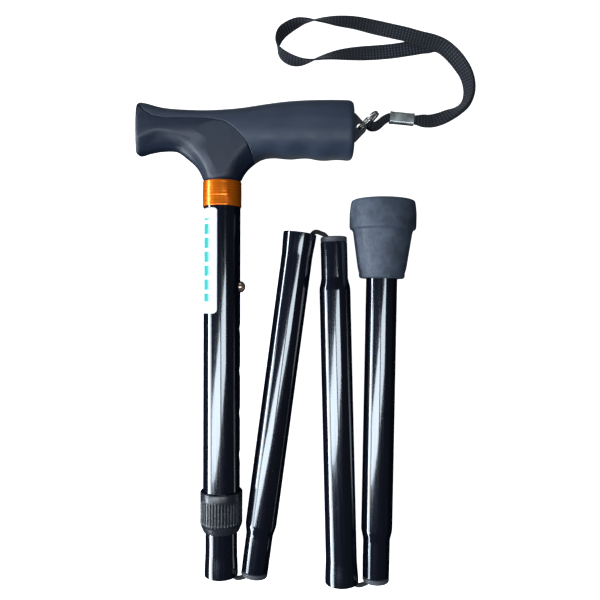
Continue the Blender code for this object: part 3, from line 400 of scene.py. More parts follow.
def webbing_look():
    """Ribbed woven webbing: cords across it, painted shade in the troughs between the ribs, painted
    highlights in patches on the rib crests, and no painted highlights near the edges, which stay darker.
    """
    look = Look("webbing_weave", Sheen_Weight=0.15, Sheen_Roughness=0.45)
    flat = look.coords(TO_MM, uv=True)
    ribs = look.wave(0.16, flat, "Y")
    rows = look.wave(0.19, flat, "X")
    weave = look.math("MULTIPLY", ribs, rows)
    patch = look.noise(1.0, 4, look.coords((120, 28, 1), uv=True))
    across = look.node("ShaderNodeSeparateXYZ", {"Vector": flat}).outputs[0]
    # the painted highlights fade out towards the edges of the webbing
    edge = look.ramp(look.math("ABSOLUTE", across), 3.3, 4.5, 1.0, 0.0)
    # painted highlight: pale patches on the crests of the ribs
    painted_rib_highlight = look.math("MULTIPLY", look.ramp(weave, 0.35, 0.8), look.ramp(patch, 0.38, 0.66))
    painted_rib_highlight = look.math("MULTIPLY", painted_rib_highlight, edge)
    # painted shade: darker in the troughs between the ribs, lighter on their crests
    ground_with_painted_trough_shade = look.tones(ribs, 0.1, 0.8, (0.003, 0.0035, 0.006), (0.012, 0.014, 0.021))
    look.put("Base Color", look.blend(painted_rib_highlight, ground_with_painted_trough_shade, (0.06, 0.082, 0.13)))
    look.rough(weave, 0.0, 1.0, 0.9, 0.68)
    look.bump((ribs, 0.18), (rows, 0.1), (look.noise(4200, 2), 0.03))
    return look.material


def label_look():
    """Blank white film with a plain turquoise band of short bars, no lettering."""
    look = Look("label_film", Coat_Weight=0.6, Coat_Roughness=0.12)
    split = look.node("ShaderNodeSeparateXYZ", {"Vector": look.coords(TO_MM, uv=True)})
    across, down = split.outputs[0], split.outputs[1]
    band = look.math("MULTIPLY", look.ramp(across, 4.6, 4.9), look.ramp(across, 9.9, 10.2, 1.0, 0.0))
    inside = look.math("MULTIPLY", look.ramp(down, 5.8, 6.0), look.ramp(down, 55.0, 55.2, 1.0, 0.0))
    bars = look.ramp(look.math("PINGPONG", down, 4.1), 0.95, 1.1)
    ink = look.math("MULTIPLY", look.math("MULTIPLY", band, inside), bars)
    paper = look.tones(look.noise(90, 4), 0.3, 0.7, (0.84, 0.87, 0.87), (0.9, 0.91, 0.91))
    look.put("Base Color", look.blend(ink, paper, (0.03, 0.4, 0.36)))
    look.rough(look.noise(300, 3), 0.3, 0.7, 0.24, 0.4)
    look.bump((look.noise(500, 3), 0.01))
    return look.material


# -------- mesh helpers


def linked(name, data):
    """A new object in the scene."""
    obj = bpy.data.objects.new(name, data)
    bpy.context.scene.collection.objects.link(obj)
    return obj


def new_piece(name, vertices, faces, look, body, smooth=True):
    mesh = bpy.data.meshes.new(name)
    mesh.from_pydata([tuple(v) for v in vertices], [], [tuple(f) for f in faces])
    obj = linked(name, mesh)
    mesh.materials.append(look)
    if smooth:
        mesh.shade_smooth()
    if body:
        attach(obj, body)
    return obj


def keep_flats_flat(obj):
    obj.modifiers.new("Flat faces", "WEIGHTED_NORMAL").keep_sharp = True


def softened(profile, radius, steps=3):
    """The profile with its corners rounded by about the radius."""
    points = [Vector(p) for p in profile]
    out = [points[0]]
    for before, corner, after in zip(points, points[1:], points[2:]):
        back, ahead = before - corner, after - corner
        if back.length < 1e-6 or ahead.length < 1e-6:
            continue
        reach = min(radius, back.length * 0.45, ahead.length * 0.45)
        if back.angle(ahead) > math.radians(165):
            out.append(corner)
            continue
        start, end = corner + back.normalized() * reach, corner + ahead.normalized() * reach
        for i in range(steps + 1):
            t = i / steps
            out.append(start * (1 - t) ** 2 + corner * 2 * t * (1 - t) + end * t * t)
    out.append(points[-1])
    return [(p.x, p.y) for p in out]


def sweep(name, rings, look, body, caps=True, across=None):
    """Skin over rings of equal point count, with distances along and round it as its UV map."""
    rings = np.asarray(rings, float)
    count, around = rings.shape[:2]
    faces = []
    for i in range(count - 1):
        for j in range(around):
            k = (j + 1) % around
            faces.append((i * around + j, i * around + k, (i + 1) * around + k, (i + 1) * around + j))
    if caps:
        faces.append(tuple(range(around))[::-1])
        faces.append(tuple((count - 1) * around + j for j in range(around)))
    obj = new_piece(name, rings.reshape(-1, 3), faces, look, None)
    centres = rings.mean(axis=1)
    along = np.concatenate([[0.0], np.cumsum(np.linalg.norm(np.diff(centres, axis=0), axis=1))])
    if across is None:
        edge = np.linalg.norm(np.roll(rings, -1, axis=1) - rings, axis=2).max(axis=0)
        across = np.concatenate([[0.0], np.cumsum(edge)])
    uv = obj.data.uv_layers.new(name="UVMap").data
    for face in obj.data.polygons:
        steps = [divmod(v, around) for v in face.vertices]
        wraps = {j for _, j in steps} == {0, around - 1}
        for loop, (i, j) in zip(face.loop_indices, steps):
            uv[loop].uv = (across[around if wraps and j == 0 else j], along[i])
    if body:
        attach(obj, body)
    return obj


def joint_named(name):
    return next(joint for joint in frame["joints"] if joint["name"] == name)


def heading_of(section):
    """Level direction from a section's swaged end to its other end, from its seat's axis."""
    return -Vector(joint_named(f"seat_{section}")["axis"])


def axis_of(node, heading):
    """Start point on a turned piece's axis, its length and its largest radius, all in metres."""
    co = np.array([v.co for v in frame["nodes"][node].data.vertices])
    side = heading.cross(UP)
    along, beside, height = co @ heading, co @ side, co[:, 2]
    centre = (beside.min() + beside.max()) / 2
    start = heading * along.min() + side * centre + UP * (height.min() + height.max()) / 2
    return start, along.max() - along.min(), (beside.max() - beside.min()) / 2


def turned(name, profile, start, heading, look, segments=96, closed=True, ripple=None):
    """Solid of revolution. The profile has distance along and radius in millimetres, round its outline."""
    side = heading.cross(UP)
    profile = list(profile) + ([profile[0]] if closed else [])
    angles = np.linspace(0, TURN, segments + 1)
    vertices, faces, uvs = [], [], []
    lengths = [0.0]
    for (z0, r0), (z1, r1) in zip(profile, profile[1:]):
        lengths.append(lengths[-1] + math.hypot(z1 - z0, r1 - r0))
    widest = max(r for _, r in profile)
    rows = profile[:-1] if closed else profile
    for z, r in rows:
        for a in angles[:-1]:
            out = r + (ripple(z, r, a) if ripple else 0.0)
            spoke = side * math.cos(a) + UP * math.sin(a)
            vertices.append(start + heading * (z * MM) + spoke * (out * MM))
    for i in range(len(profile) - 1):
        k = (i + 1) % len(rows)
        for j in range(segments):
            n = (j + 1) % segments
            faces.append((i * segments + j, i * segments + n, k * segments + n, k * segments + j))
            u0, u1 = angles[j] * widest * MM, angles[j + 1] * widest * MM
            v0, v1 = lengths[i] * MM, lengths[i + 1] * MM
            uvs += [(u0, v0), (u1, v0), (u1, v1), (u0, v1)]
    obj = new_piece(name, vertices, faces, look, None)
    layer = obj.data.uv_layers.new(name="UVMap").data
    for loop, uv in zip(layer, uvs):
        loop.uv = uv
    clean(obj.data)
    obj.data.shade_smooth()
    keep_flats_flat(obj)
    return obj


def clean(mesh):
    """Joins doubled points and turns the faces outwards."""
    shell = bmesh.new()
    shell.from_mesh(mesh)
    bmesh.ops.remove_doubles(shell, verts=shell.verts, dist=1e-7)
    bmesh.ops.dissolve_degenerate(shell, dist=1e-7, edges=shell.edges)
    bmesh.ops.recalc_face_normals(shell, faces=shell.faces)
    shell.to_mesh(mesh)
    shell.free()


def bake_modifiers(obj):
    """The object's mesh becomes what its modifiers make of it."""
    graph = bpy.context.evaluated_depsgraph_get()
    bpy.context.view_layer.update()
    mesh = bpy.data.meshes.new_from_object(obj.evaluated_get(graph))
    obj.modifiers.clear()
    obj.data = mesh


def smooth_values(knots, values, at):
    """Cubic curve through the knots, read at the places asked for."""
    knots, values, at = (np.asarray(x, float) for x in (knots, values, at))
    slopes = np.gradient(values, knots, axis=0)
    left = np.clip(np.searchsorted(knots, at, side="right") - 1, 0, len(knots) - 2)
    span = (knots[left + 1] - knots[left])[:, None]
    t = (at - knots[left])[:, None] / span
    start = values[left] * (2 * t**3 - 3 * t**2 + 1) + slopes[left] * span * (t**3 - 2 * t**2 + t)
    end = values[left + 1] * (3 * t**2 - 2 * t**3) + slopes[left + 1] * span * (t**3 - t**2)
    return start + end


def smooth_line(route, step):
    """Points at most one step apart on a smooth curve through the route's points."""
    route = np.asarray(route, float)
    lengths = np.linalg.norm(np.diff(route[:, :3], axis=0), axis=1)
    along = np.concatenate([[0.0], np.cumsum(lengths)])
    at = [0.0]
    for low, high in zip(along, along[1:]):
        at.extend(np.linspace(low, high, math.ceil((high - low) / step) + 1)[1:])
    return smooth_values(along, route, at)


# -------- camera, floor and light


def add_camera():
    data = bpy.data.cameras.new("camera")
    data.lens = CAMERA_LENS
    data.clip_start = 0.01
    camera = linked("camera", data)
    camera.location = (CAMERA_X, CAMERA_Y, CAMERA_HEIGHT)
    camera.rotation_euler = (0, 0, CAMERA_ROLL)
    bpy.context.scene.camera = camera


def add_floor():
    """White sweep that glows a little, as paper does over a light box. It adds nothing to reflections."""
    look = Look("floor_white", Roughness=0.7)
    cloud = look.noise(3, 2)
    look.paint(cloud, 0.3, 0.7, (0.89, 0.89, 0.89), (0.91, 0.91, 0.91))
    look.put("Emission Color", (1.0, 1.0, 1.0, 1.0))
    look.put("Emission Strength", FLOOR_GLOW)
    corners = [(x * FLOOR_HALF, y * FLOOR_HALF, 0) for x, y in ((-1, -1), (1, -1), (1, 1), (-1, 1))]
    floor = new_piece("floor", corners, [(0, 1, 2, 3)], look.material, None, False)
    floor.visible_glossy = False
    floor.visible_diffuse = False


def add_light(name, place, target, size, radiance, turn=0.0):
    """A softbox, turned about the vertical by degrees."""
    data = bpy.data.lights.new(name, "AREA")
    data.shape = "RECTANGLE"
    data.size, data.size_y = size
    data.energy = radiance * math.pi * size[0] * size[1]
    data.color = LIGHT_COLOUR
    light = linked(name, data)
    light.location = place
    aim = (Vector(target) - Vector(place)).to_track_quat("-Z", "Y")
    light.rotation_euler = (Quaternion(UP, math.radians(turn)) @ aim).to_euler()


def add_lights():
    """Two overhead panes, a low strip and a fill on the left, and a box beyond the grip."""
    for name, (low, high, radiance) in OVERHEAD_PANES.items():
        x = (low + high) / 2
        y = OVERHEAD_Y + OVERHEAD_SLOPE * x
        size = (high - low, OVERHEAD_DEPTH)
        add_light(name, (x, y, OVERHEAD_HEIGHT), (x, y, 0.0), size, radiance, OVERHEAD_TURN)
    for name, settings in SOFTBOXES.items():
        add_light(name, *settings)
    bpy.context.scene.world = dim_room()
    bpy.context.scene.view_settings.view_transform = "Standard"


def dim_room():
    """Faint even light from above, none from below, and a pale backdrop behind the floor's edge."""
    world = bpy.data.worlds.new("studio")
    world.use_nodes = True
    tree = world.node_tree
    coords = tree.nodes.new("ShaderNodeTexCoord")
    split = tree.nodes.new("ShaderNodeSeparateXYZ")
    ramp = tree.nodes.new("ShaderNodeMapRange")
    for name, value in {"From Min": -0.05, "From Max": 0.25, "To Min": 0.005, "To Max": 0.03}.items():
        ramp.inputs[name].default_value = value
    tree.links.new(coords.outputs["Generated"], split.inputs[0])
    tree.links.new(split.outputs["Z"], ramp.inputs["Value"])
    background = tree.nodes["Background"]
    background.inputs[0].default_value = (0.92, 0.96, 1.0, 1.0)
    rays = tree.nodes.new("ShaderNodeLightPath")
    backdrop = tree.nodes.new("ShaderNodeMath")
    backdrop.operation = "MULTIPLY_ADD"
    backdrop.inputs[1].default_value = BACKDROP_GLOW
    tree.links.new(rays.outputs["Is Camera Ray"], backdrop.inputs[0])
    tree.links.new(ramp.outputs[0], backdrop.inputs[2])
    tree.links.new(backdrop.outputs[0], background.inputs[1])
    return world


# -------- wrist strap


def level_row(point):
    heading = math.radians(point[3])
    return (*point[:3], math.cos(heading), math.sin(heading), 0.0, STRAP_EYE_WIDTH)


def layer_row(route, i, layer):
    """Place, width direction and width at a route point. Layer 1 is on the line's upper face, -1 below."""
    before, after = route[max(i - 1, 0)], route[min(i + 1, len(route) - 1)]
    run = (Vector(after[:3]) - Vector(before[:3])).normalized()
    side = UP.cross(run).normalized()
    roll = math.radians(route[i][3])
    width = side * math.cos(roll) + UP * math.sin(roll)
    face = run.cross(width).normalized()
    place = Vector(route[i][:3]) + face * STRAP_LAYER * layer
    away = (place - CRIMP_CENTRE).length
    return (*place, *width, np.interp(away, STRAP_GATHER_AWAY, STRAP_GATHER_WIDTH))


def strap_line():
    """The webbing's centre line in millimetres, with the direction and the amount of its width."""
    rows = [level_row(point) for point in STRAP_EYE]
    rows += [layer_row(STRAP_DOUBLE, i, 1) for i in range(len(STRAP_DOUBLE))]
    rows += [layer_row(STRAP_LOOP, i, 0) for i in range(len(STRAP_LOOP))]
    rows += [layer_row(STRAP_DOUBLE, i, -1) for i in reversed(range(len(STRAP_DOUBLE)))]
    rows.append(level_row(STRAP_TAIL))
    return smooth_line(rows, STRAP_STEP)


def strap_section(width):
    """The webbing's cross section: across it and through it, with soft selvedges and slight ribs."""
    half, t = width / 2, STRAP_THICKNESS / 2
    across = [-0.96, -0.86, -0.7, -0.5, -0.3, -0.1, 0.1, 0.3, 0.5, 0.7, 0.86, 0.96]
    depth = [0.55, 0.95, 0.86, 0.97, 0.86, 0.97, 0.86, 0.97, 0.86, 0.97, 0.95, 0.55]
    top = [(a * half, d * t) for a, d in zip(across, depth)]
    return top + [(half, 0.0)] + [(a, -d) for a, d in reversed(top)] + [(-half, 0.0)]


def add_strap(crimp):
    """The webbing along its route. The sleeve passed in is not used."""
    rows = strap_line()
    places, widths = rows[:, :3], rows[:, 3:6]
    run = np.gradient(places, axis=0)
    widths /= np.linalg.norm(widths, axis=1)[:, None]
    faces = np.cross(run, widths)
    faces /= np.linalg.norm(faces, axis=1)[:, None]
    rings = []
    for place, width, face, amount in zip(places, widths, faces, rows[:, 6]):
        rings.append([(place + a * width + b * face) * MM for a, b in strap_section(amount)])
    across = [a * MM for a, _ in strap_section(STRAP_WIDTH)]
    strap = sweep("wrist_strap", rings, webbing_look(), "strap", across=across + [across[0]])
    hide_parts("strap_webbing")


# -------- grip


def remeshed(nodes, name, look, voxel, passes):
    """The nodes' solids as one fine, even skin."""
    shell = bmesh.new()
    for node in nodes:
        shell.from_mesh(frame["nodes"][node].data)
    mesh = bpy.data.meshes.new(name)
    shell.to_mesh(mesh)
    shell.free()
    clean(mesh)
    obj = linked(name, mesh)
    skin = obj.modifiers.new("Skin", "REMESH")
    skin.mode = "VOXEL"
    skin.voxel_size = voxel * MM
    relax = obj.modifiers.new("Relax", "SMOOTH")
    relax.factor = 0.5
    relax.iterations = passes
    bake_modifiers(obj)
    obj.data.materials.clear()
    obj.data.materials.append(look)
    obj.data.shade_smooth()
    return obj


def mesh_points(obj):
    co = np.empty(len(obj.data.vertices) * 3, np.float32)
    obj.data.vertices.foreach_get("co", co)
    return co.reshape(-1, 3).astype(float)


def set_points(obj, co):
    obj.data.vertices.foreach_set("co", np.asarray(co, np.float32).ravel())
    obj.data.update()


def smooth_path(points, step=1.5):
    return smooth_line([(x, y, 0.0) for x, y in points], step)[:, :2]


def line_distance(points, line):
    """Signed distance in plan from each point to an open line, positive on the line's left."""
    best = np.full(len(points), 1e9)
    signed = np.zeros(len(points))
    for a, b in zip(line, line[1:]):
        run = b - a
        t = np.clip(((points - a) @ run) / (run @ run), 0, 1)
        gap = points - (a + t[:, None] * run)
        d = np.hypot(gap[:, 0], gap[:, 1])
        side = run[0] * (points[:, 1] - a[1]) - run[1] * (points[:, 0] - a[0])
        nearer = d < best
        best[nearer] = d[nearer]
        signed[nearer] = (d * np.sign(side))[nearer]
    return signed


def step_up(value, low, high):
    t = np.clip((value - low) / (high - low), 0, 1)
    return t * t * (3 - 2 * t)


def grip_form(look):
    """Cover and core as one body: facets smoothed away and the corners between bar and neck filled."""
    form = remeshed(("grip_cover", "handle_core"), "grip_form", look, FORM_VOXEL, 30)
    co = mesh_points(form) / MM
    low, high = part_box("collar_ring")
    centre = (low[0] + high[0]) / 2 / MM
    corner = high[1] / MM + CORNER_ABOVE_COLLAR
    away_y = (co[:, 1] - corner) / CORNER_REACH
    away_x = np.clip(np.abs(co[:, 0] - centre) - CORNER_HALF_WIDTH, 0, None) / CORNER_REACH
    weights = np.exp(-(away_y**2) - away_x**2)
    group = form.vertex_groups.new(name="corner")
    for i in np.flatnonzero(weights > 0.02):
        group.add([int(i)], float(weights[i]), "REPLACE")
    fill = form.modifiers.new("Fill", "SMOOTH")
    fill.factor = 0.5
    fill.iterations = CORNER_PASSES
    fill.vertex_group = "corner"
    bake_modifiers(form)
    tree = BVHTree.FromObject(form, bpy.context.evaluated_depsgraph_get())
    bpy.data.objects.remove(form)
    return tree


def draw_to_form(obj, tree, close_seam):
    """Outer points move onto the form. Deep in the seam the core's faces close up to the cover's."""
    co = mesh_points(obj)
    normals = np.empty(len(co) * 3, np.float32)
    obj.data.vertices.foreach_get("normal", normals)
    normals = normals.reshape(-1, 3)
    for i, point in enumerate(co):
        hit, normal, _, distance = tree.find_nearest(Vector(point), 3.0 * MM)
        if hit is None:
            continue
        if distance < 1.3 * MM and normal.dot(Vector(normals[i])) > 0.45:
            co[i] = hit
        elif close_seam and distance > 1.0 * MM:
            co[i] += normals[i] * 0.28 * MM
    set_points(obj, co)


def ease_grip(co):
    """Trims the grip's ends and edges from the CAD blank's to the moulding's, all of it inwards."""
    x, y = co[:, 0] / MM, co[:, 1] / MM
    nose = step_up(-x, 58.0, 82.0) * step_up(y, 106.0, 123.0) * (1 - 0.25 * step_up(y, 134.0, 146.0))
    butt = step_up(x, 25.0, 46.0)
    crown = 0.9 + 0.7 * np.exp(-(((x + 22) / 16) ** 2)) - 0.4 * step_up(-x, 68.0, 82.0)
    crown *= step_up(y, 126.0, 142.0)
    under = 0.7 * step_up(x, -12.0, 0.0) * step_up(-y, -122.0, -111.0)
    co[:, 0] += (2.7 * nose - 1.0 * butt) * MM
    co[:, 1] += (under - crown) * MM
    return co


def finger_dents(co):
    """Three shallow hollows for the fingers along the underside of the cover."""
    x, y = co[:, 0] / MM, co[:, 1] / MM
    across = sum(np.exp(-(((x - at) / 6.0) ** 2)) for at in FINGER_DENTS)
    low = step_up(-y, -121.0, -110.5)
    side = (co[:, 2] - AXIS_HEIGHT) / (17 * MM)
    co[:, 1] += across * low * 0.45 * MM
    co[:, 2] -= np.sign(side) * across * low * np.abs(side) * 0.5 * MM
    return co


def shape_core(co):
    """Flattens the panel between the ridges, on both faces, and hollows what lies outside them."""
    plan = co[:, :2] / MM
    above = (co[:, 2] - AXIS_HEIGHT) / MM
    facing = step_up(np.abs(above), 3.0, 9.0)
    left = line_distance(plan, smooth_path(LEFT_RIDGE))
    right = line_distance(plan, smooth_path(RIGHT_RIDGE))
    fade = step_up(plan[:, 1], 96.0, 101.0)
    scoop = step_up(-left, 0.0, 6.0) * 1.7
    flank = step_up(right, 0.0, 6.0) * 0.9
    flat = PANEL_LOW + (plan[:, 1] - PANEL_Y) * PANEL_SLOPE
    inside = step_up(left, -2.0, 0.6) * step_up(-right, -2.0, 0.6)
    panel = np.clip(np.abs(above) - flat, 0, 2.5) * inside * step_up(plan[:, 0], -74.0, -50.0)
    co[:, 2] -= np.sign(above) * (panel + (scoop + flank) * fade) * facing * MM
    return co


def add_grip():
    """Soft cover and hard core, from their CAD solids, drawn onto one smooth form."""
    soft, hard = soft_cover_look(), hard_core_look()
    tree = grip_form(hard)
    cover = remeshed(("grip_cover",), "soft_cover", soft, SKIN_VOXEL, 2)
    core = remeshed(("handle_core",), "hard_core", hard, SKIN_VOXEL, 2)
    draw_to_form(cover, tree, False)
    draw_to_form(core, tree, True)
    set_points(cover, finger_dents(ease_grip(mesh_points(cover))))
    set_points(core, shape_core(ease_grip(mesh_points(core))))
    place(cover, "root", "grip_cover", "soft_cover")
    place(core, "root", "handle_core", "hard_core")


def place(obj, body, node, slot):
    """The piece moves with the body and stands for the node, which is hidden. The slot is not used."""
    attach(obj, body)
    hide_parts(node)


# -------- upper section


def turned_on(node, profile, heading, look, **options):
    """A turned piece on a node's own axis, starting at that node's end."""
    start, _, _ = axis_of(node, heading)
    return turned(node + "_skin", profile, start, heading, look, **options)


def size_of(node, heading):
    """Length and largest radius of a turned node, in millimetres."""
    _, length, radius = axis_of(node, heading)
    return length / MM, radius / MM


def drill(obj, places, radius, direction, reach):
    """Cuts round holes through a piece, from its axis outwards."""
    cutters = []
    for point in places:
        bpy.ops.mesh.primitive_cylinder_add(vertices=64, radius=radius * MM, depth=reach * MM)
        cutter = bpy.context.object
        cutter.rotation_euler = direction.to_track_quat("Z", "Y").to_euler()
        cutter.location = point + direction * (reach / 2) * MM
        cut = obj.modifiers.new("Hole", "BOOLEAN")
        cut.operation = "DIFFERENCE"
        cut.object = cutter
        cutters.append(cutter)
    bake_modifiers(obj)
    for cutter in cutters:
        bpy.data.objects.remove(cutter)
    keep_flats_flat(obj)


def middle(node):
    low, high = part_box(node)
    return (Vector(low) + Vector(high)) / 2


def hole_places(count=1):
    """Points on the stick's axis: beside the snap button and one hole pitch after another below it."""
    x, y = middle("upper_tube").x, middle("snap_button").y
    return [Vector((x, y - i * HOLE_PITCH * MM, AXIS_HEIGHT)) for i in range(count)]


def add_upper_tube(black):
    length, radius = size_of("upper_tube", STICK)
    bore = radius - UPPER_WALL
    outline = [(0.0, bore + 0.6), (0.0, radius), (length, radius), (length, bore), (0.0, bore)]
    outline.append(outline[0])
    tube = turned_on("upper_tube", softened(outline, 0.35)[:-1], STICK, black, segments=160)
    drill(tube, hole_places(HOLE_COUNT), HOLE_R, RIGHT, DRILL_REACH)
    place(tube, "root", "upper_tube", "tube_black")


def add_collar():
    """Orange band: rolled edges and two turned grooves with raised shoulders."""
    length, radius = size_of("collar_ring", STICK)
    bore = radius - COLLAR_WALL
    outline = [(0.0, bore), (0.0, radius - 0.15), (0.35, radius), (1.3, radius), (1.5, radius - 0.1)]
    for low in (length - 9.4, length - 7.6):
        outline += [(low - 0.55, radius - 0.03), (low - 0.3, radius)]
        outline += [(low, radius - 0.25), (low + 0.3, radius)]
    outline += [(length - 1.5, radius - 0.1), (length - 1.3, radius), (length - 0.35, radius)]
    outline += [(length, radius - 0.15), (length, bore)]
    collar = turned_on("collar_ring", outline, STICK, collar_look(), segments=128)
    place(collar, "root", "collar_ring", "collar")


def add_label():
    """Thin film on the left of the tube, with rounded corners."""
    low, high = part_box("tube_label")
    centre = middle("upper_tube")
    _, radius = size_of("upper_tube", STICK)
    first, last = math.radians(LABEL_FIRST), math.radians(LABEL_LAST)
    rows, columns = 64, 40
    vertices, uvs = [], []
    for i in range(rows + 1):
        y = high[1] + (low[1] - high[1]) * i / rows
        trim = corner_trim(min(y - low[1], high[1] - y) / MM, LABEL_CORNER) / radius
        for j in range(columns + 1):
            angle = first + trim + (last - first - 2 * trim) * j / columns
            for lift in LABEL_SKINS:
                r = (radius + lift) * MM
                vertices.append((centre.x + r * math.cos(angle), y, centre.z + r * math.sin(angle)))
                uvs.append(((angle - first) * radius * MM, high[1] - y))
    label = new_piece("label_film", vertices, label_faces(rows, columns), label_look(), None)
    layer = label.data.uv_layers.new(name="UVMap").data
    for loop in label.data.loops:
        layer[loop.index].uv = uvs[loop.vertex_index]
    place(label, "root", "tube_label", "label")


def corner_trim(away, radius):
    """How far a rounded corner holds back the side, at a distance from the end."""
    inside = max(radius - away, 0.0)
    return radius - math.sqrt(max(radius**2 - inside**2, 0.0))


def label_faces(rows, columns):
    """Faces of a sheet with two skins, whose points run row by row, outer and inner in turn."""
    faces = []

    def at(i, j, skin):
        return (i * (columns + 1) + j) * 2 + skin

    for i in range(rows):
        for j in range(columns):
            faces.append((at(i, j, 0), at(i, j + 1, 0), at(i + 1, j + 1, 0), at(i + 1, j, 0)))
            faces.append((at(i, j, 1), at(i + 1, j, 1), at(i + 1, j + 1, 1), at(i, j + 1, 1)))
        for j, turn in ((0, 1), (columns, -1)):
            faces.append((at(i, j, 0), at(i + 1, j, 0), at(i + 1, j, 1), at(i, j, 1))[::turn])
    for j in range(columns):
        for i, turn in ((0, -1), (rows, 1)):
            faces.append((at(i, j, 0), at(i, j + 1, 0), at(i, j + 1, 1), at(i, j, 1))[::turn])
    return faces


def add_nut():
    """Locking nut: smooth rim, round-topped gripping ribs and a chamfered lower end."""
    length, radius = size_of("locking_nut", STICK)
    rib_low, rib_high = 4.8, length - 4.8
    bore = radius - 1.3
    small = radius - 3.1

    def ribs(z, r, angle):
        if r < radius - 0.7 or not rib_low <= z <= rib_high:
            return 0.0
        share = (angle / TURN * NUT_RIBS) % 1.0
        ends = min(1.0, (z - rib_low) / 1.0, (rib_high - z) / 0.6)
        return -0.62 * ends * max(0.0, math.cos((share - 0.5) * TURN)) ** 0.6

    outline = [(0.0, small), (0.0, radius - 2.0), (0.5, radius - 1.7), (3.6, radius - 0.4)]
    outline.append((rib_low, radius - 0.1))
    outline += [(rib_low + (rib_high - rib_low) * i / 16, radius - 0.02) for i in range(17)]
    outline += [(rib_high + 0.5, radius), (length - 0.7, radius), (length, radius - 0.5), (length, bore)]
    outline += [(1.8, bore), (1.8, small)]
    look = plastic_look("nut_moulded", (0.022, 0.025, 0.033), 0.27, 0.012)
    nut = turned_on("locking_nut", outline, STICK, look, segments=NUT_RIBS * 10, ripple=ribs)
    place(nut, "nut", "locking_nut", "nut")


def add_button():
    """Domed copper-coloured pin of the height lock."""
    length, radius = size_of("snap_button", RIGHT)
    pin = BUTTON_R
    outline = [(0.0, 0.0), (0.0, radius - 0.2), (0.15, radius)]
    outline += [(0.55, radius), (0.7, radius - 0.15), (0.7, pin)]
    rise = pin * 0.8
    for i in range(13):
        angle = math.radians(90 * i / 12)
        outline.append((length - rise + rise * math.sin(angle), pin * math.cos(angle)))
    look = metal_look("button_copper_plate", (0.8, 0.56, 0.42), 0.2, 0.01)
    button = turned_on("snap_button", outline, RIGHT, look, segments=48, closed=False)
    place(button, "button", "snap_button", "copper")


# -------- tubes that fold


def flare(start, end, r_start, r_end, count=8):
    """Points of a soft S between two radii, without the first."""
    out = []
    for i in range(1, count + 1):
        t = i / count
        out.append((start + (end - start) * t, r_start + (r_end - r_start) * t * t * (3 - 2 * t)))
    return out


def mouth_outline(length, radius, tube_r):
    """Outside and inside of a tube's flared end, from the outside of the tube to its bore."""
    out = flare(length - MOUTH_FLARE, length - 0.5, tube_r, radius)
    out += [(length - 0.15, radius - 0.05), (length, radius - 0.25), (length, MOUTH_BORE_R + 0.15)]
    out += [(length - 0.15, MOUTH_BORE_R)]
    return out + flare(length - 0.5, length - MOUTH_FLARE, MOUTH_BORE_R, tube_r - WALL)


def section_outline(length, radius, mouth):
    """A section from its swaged end to its other end, which has a flared mouth or is plain."""
    low = SECTION_START
    shoulder = SWAGE_LENGTH + SHOULDER_LENGTH
    bore = SECTION_R - WALL
    out = [(low, SWAGE_R - WALL), (low, SWAGE_R - 0.3), (low + 0.3, SWAGE_R), (SWAGE_LENGTH, SWAGE_R)]
    out += flare(SWAGE_LENGTH, shoulder, SWAGE_R, SECTION_R)
    if mouth:
        out += mouth_outline(length, radius, SECTION_R)
    else:
        out += [(length - 0.3, SECTION_R), (length, SECTION_R - 0.3), (length, bore)]
    out += [(shoulder, bore)]
    out += flare(shoulder, SWAGE_LENGTH, bore, SWAGE_R - WALL)
    return [(z - low, r) for z, r in out]


def add_inner_tube(black):
    length, radius = size_of("inner_tube", -STICK)
    outline = [(0.0, INNER_TUBE_R - WALL), (0.0, INNER_TUBE_R - 0.3), (0.3, INNER_TUBE_R)]
    outline += mouth_outline(length, radius, INNER_TUBE_R)
    tube = turned_on("inner_tube", outline, -STICK, black, segments=128)
    drill(tube, hole_places(), HOLE_R, RIGHT, DRILL_REACH)
    place(tube, "inner", "inner_tube", "tube_black")


def add_section(number, black, plug):
    """A tube section with its swaged end, and the grey plug in that end."""
    heading = heading_of(number)
    node = f"section_tube_{number}"
    length, radius = size_of(node, heading)
    outline = section_outline(length + SECTION_START, radius, number < 4)
    tube = turned_on(node, outline, heading, black, segments=128)
    place(tube, f"section_{number}", node, "tube_black")
    end = turned_on(f"end_plug_{number}", plug_outline(), heading, plug)
    place(end, f"section_{number}", f"end_plug_{number}", "plug")


def plug_outline():
    """Plug with a stem in the tube, a grooved flange and a funnel for the cord."""
    stem_r = SWAGE_R - WALL - FIT
    outline = [(PLUG_LENGTH, stem_r), (PLUG_FLANGE, stem_r), (PLUG_FLANGE, SWAGE_R - 0.25)]
    outline += [(PLUG_FLANGE - 0.3, SWAGE_R - 0.02), (2.2, SWAGE_R - 0.02), (2.0, SWAGE_R - 0.22)]
    outline += [(1.75, SWAGE_R - 0.22), (1.55, SWAGE_R), (1.0, SWAGE_R), (0.3, SWAGE_R - 0.3)]
    outline += [(0.0, SWAGE_R - 0.9), (0.0, PLUG_LIP_R + 0.4), (0.15, PLUG_LIP_R + 0.1)]
    return outline + [(0.5, PLUG_LIP_R), (6.0, PLUG_BORE_R + 0.3), (PLUG_LENGTH, PLUG_BORE_R)]


def add_loop(number, parent, look):
    """Bend of the elastic cord at a fold."""
    node = f"elastic_loop_{number}"
    loop = remeshed((node,), f"elastic_bend_{number}", look, LOOP_VOXEL, 3)
    place(loop, parent, node, "elastic")
    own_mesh(loop)


# -------- tip


